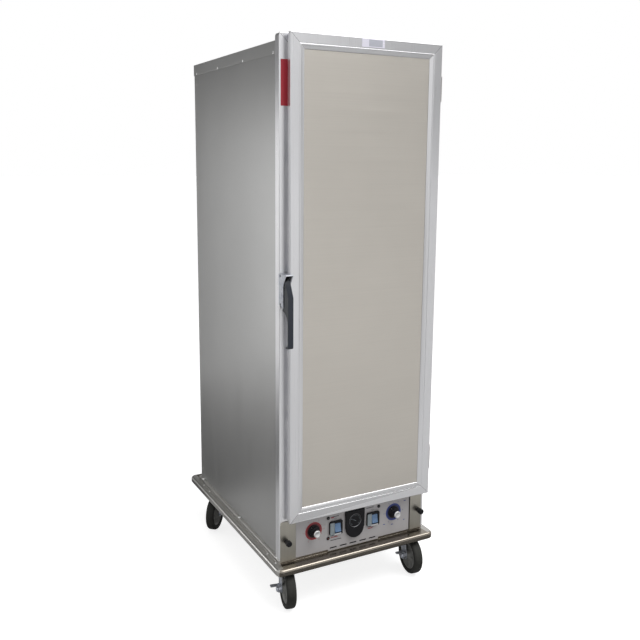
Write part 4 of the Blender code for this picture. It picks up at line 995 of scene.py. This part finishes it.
def make_wheels():
    """A crowned tyre with rounded shoulders, on a nylon hub with eight ribs on each side."""
    rib = [(-0.001, 0.0165), (0.001, 0.0165), (0.0008, 0.0415), (-0.0008, 0.0415)]
    tyre = [(0.0455, 0.0085), (0.047, 0.0118), (0.0492, 0.0138), (0.052, 0.0148), (0.056, 0.0156)]
    tyre += [(0.0588, 0.0154), (0.0608, 0.0142), (0.0622, 0.0125), (0.0632, 0.010), (WHEEL_RADIUS, 0.005)]
    hub = [(0.0058, 0.0186), (0.0136, 0.0186), (0.0146, 0.0176), (0.016, 0.013), (0.0185, 0.010)]
    hub += [(0.023, 0.0084), (0.034, 0.0078), (0.040, 0.0088), (0.0425, 0.0112), (0.044, 0.0122)]
    hub += [(0.0462, 0.0118), (0.047, 0.010)]
    for key in CORNERS:
        across = caster_frame(key) @ Matrix.Translation((0, -CASTER_TRAIL, WHEEL_RADIUS)) @ ALONG_X
        body = key + "_wheel"
        rim = turned(body + "_tyre", mirrored(tyre), 96, across, TYRE, 40, closed=True)
        placed(rim, body, "grey_rubber", body)
        placed(turned(body + "_hub", mirrored(hub), 96, across, HUB, closed=True), body, "grey_rubber")
        ribs = []
        for step in range(8):
            turn = Matrix.Rotation(math.tau * step / 8, 4, "Z")
            for start, end in ((0.0066, 0.0098), (-0.0098, -0.0066)):
                ribs.append(plate("rib", [rib], start, end, across @ turn, HUB, 0.0004, 1))
        merged(body + "_ribs", ribs, body, "grey_rubber")


def trimmed(spot):
    """A caster's plate ends inside the raised deck."""
    spot.x = max(-PLATE_SIDE, min(PLATE_SIDE, spot.x))
    spot.y = max(PLATE_FRONT, spot.y)


def make_caster_metal():
    """Plates, forks, axles and brake levers, with the ring round each swivel's race."""
    race = [(0.0275, 0.0006), (0.030, 0.0006), (0.0312, 0.0022), (0.0308, 0.0048), (0.029, 0.006)]
    race += [(0.0262, 0.006), (0.0262, 0.003)]
    for key in CORNERS:
        refined(key + "_caster_plate", ZINC, 0.0005, move=trimmed)
        refined(key + "_fork", ZINC, 0.0007, segments=3)
        refined(key + "_axle", ZINC, 0.0005)
        place = Matrix.Translation(PIVOT[key + "_swivel"])
        placed(turned(key + "_race_ring", race, 64, place, ZINC, 40, closed=True), "cabinet", "zinc_plate")
    for key in CORNERS[:2]:
        refined(key + "_brake_lever", ZINC, 0.001, segments=3)


# ---- stage ----
WHITE = (1.0, 1.0, 1.0, 1.0)
WORLD_LIGHT = 0.42
FLOOR_COLOUR = 0.50
FLOOR_SEEN = 0.80
FLOOR_MIRRORED = 0.10
# name, place of the lower edge's middle, size and grey
CARDS = (
    ("left_card", (-0.39, 2.79, 0.0), (2.4, 4.5), 0.18),
    ("high_card", (-2.15, 1.80, 1.75), (2.4, 3.0), 0.27),
    ("right_card", (2.3, -2.9, 0.0), (1.7, 4.2), 0.42),
)
# name, middle, size and grey
MATS = (
    ("side_mat", (-0.80, 1.35), (1.3, 1.7), 0.06),
    ("front_mat", (0.25, -0.59), (1.6, 0.32), 0.14),
)
# name, place, what it faces, size, power in watts and the width of its beam in degrees
LAMPS = (
    ("key", (1.4, -1.6, 4.2), (0.1, -0.7, 0.0), (3.6, 3.6), 130.0, 150.0),
    ("side_box", (-1.90, 1.60, 0.87), (-0.26, 0.2, 0.87), (0.5, 1.55), 2.4, 90.0),
    ("door_box", (1.75, -3.05, 0.72), (0.0, -0.4, 0.9), (3.0, 1.4), 1.4, 80.0),
    ("top", (-0.4, 0.2, 4.6), (0.0, 0.0, 0.0), (3.0, 3.0), 10.0, 150.0),
)
# the camera that was fitted to the photo
CAMERA_PLACE = (-1.2338, -2.424, 1.4091)
CAMERA_TURN = (27.958, 9.552, 0.439)  # degrees to the right, down and of roll
CAMERA_LENS = 43.65
CAMERA_SHIFT = (0.0035, -0.046)


def make_floor():
    """A pale floor, white to the camera where nothing shades it and faint in reflections."""
    floor = new_material("pale_floor", (FLOOR_COLOUR,) * 3, 0.9, Emission_Color=WHITE)
    rays = node(floor, "ShaderNodeLightPath").outputs
    seen = combined(floor, "MULTIPLY", rays["Is Camera Ray"], FLOOR_SEEN)
    mirrors = combined(floor, "MAXIMUM", rays["Is Glossy Ray"], rays["Is Transmission Ray"])
    in_mirror = combined(floor, "MULTIPLY", mirrors, FLOOR_MIRRORED)
    feed(floor, "Emission Strength", combined(floor, "ADD", seen, in_mirror))
    bm = bmesh.new()
    bmesh.ops.create_grid(bm, x_segments=8, y_segments=8, size=60.0)
    built("floor", bm, floor)


def make_cards():
    """Upright grey cards turned to the cabinet, and mats on the floor."""
    for name, spot, (width, height), grey in CARDS:
        corners = [(across, 0, up) for across, up in rectangle(-width / 2, width / 2, 0, height)]
        card(name, corners, spot, math.atan2(spot[1], spot[0]) + math.radians(90), grey)
    for name, (x, y), (width, depth), grey in MATS:
        outline = rectangle(-width / 2, width / 2, -depth / 2, depth / 2)
        corners = [(across, along, 0) for across, along in outline]
        card(name, corners, (x, y, 0.004), 0.0, grey)


def card(name, corners, spot, turn, grey):
    """A grey sheet that only reflections see."""
    mesh = bpy.data.meshes.new(name)
    mesh.from_pydata(corners, [], [(0, 1, 2, 3)])
    sheet = linked(name, mesh, new_material(name + "_paper", (grey,) * 3, 0.9))
    sheet.location = spot
    sheet.rotation_euler = (0, 0, turn)
    sheet.visible_camera = sheet.visible_shadow = sheet.visible_diffuse = False


def make_world():
    """White to the camera and in reflections, softer as a light."""
    world = bpy.data.worlds.new("studio")
    bpy.context.scene.world = world
    world.use_nodes = True
    world.node_tree.nodes.clear()
    rays = node(world, "ShaderNodeLightPath").outputs
    clear = combined(world, "MAXIMUM", rays["Is Camera Ray"], rays["Is Transmission Ray"])
    pale_rays = combined(world, "MAXIMUM", clear, rays["Is Glossy Ray"])
    mix = node(world, "ShaderNodeMixShader")
    connect(world, pale_rays, mix.inputs["Fac"])
    for socket, strength in ((1, WORLD_LIGHT), (2, 1.0)):
        background = node(world, "ShaderNodeBackground", {"Color": WHITE, "Strength": strength})
        connect(world, background.outputs["Background"], mix.inputs[socket])
    output = node(world, "ShaderNodeOutputWorld")
    connect(world, mix.outputs["Shader"], output.inputs["Surface"])


def softbox(name, spot, target, size, power, beam):
    data = bpy.data.lights.new(name, "AREA")
    data.shape = "RECTANGLE"
    data.size, data.size_y = size
    data.energy = power
    data.spread = math.radians(beam)
    lamp = bpy.data.objects.new(name, data)
    lamp.location = spot
    lamp.rotation_euler = (Vector(target) - Vector(spot)).to_track_quat("-Z", "Y").to_euler()
    lamp.visible_camera = False
    bpy.context.scene.collection.objects.link(lamp)


def make_camera():
    yaw, pitch, roll = (math.radians(angle) for angle in CAMERA_TURN)
    ahead = Vector((math.sin(yaw) * math.cos(pitch), math.cos(yaw) * math.cos(pitch), -math.sin(pitch)))
    level = Vector((math.cos(yaw), -math.sin(yaw), 0.0))
    above = level.cross(ahead)
    right = math.cos(roll) * level + math.sin(roll) * above
    up = -math.sin(roll) * level + math.cos(roll) * above
    data = bpy.data.cameras.new("camera")
    data.lens = CAMERA_LENS
    data.shift_x, data.shift_y = CAMERA_SHIFT
    camera = bpy.data.objects.new("camera", data)
    turn = Matrix((right, up, -ahead)).transposed().to_4x4()
    camera.matrix_world = Matrix.Translation(CAMERA_PLACE) @ turn
    bpy.context.scene.collection.objects.link(camera)
    bpy.context.scene.camera = camera


bpy.context.scene.view_settings.view_transform = "Standard"
make_camera()
make_world()
for lamp in LAMPS:
    softbox(*lamp)
make_floor()
make_cards()
make_body()
make_body_rivets()
make_base()
make_base_channels()
make_base_fixings()
make_label()
make_door()
make_badge()
make_latch()
make_module()
make_control_panel()
make_thermostats()
make_dials()
make_thumbscrews()
make_lamps()
make_scales()
make_legends()
make_switch_details()
make_thermometer_face()
make_wheels()
make_caster_metal()
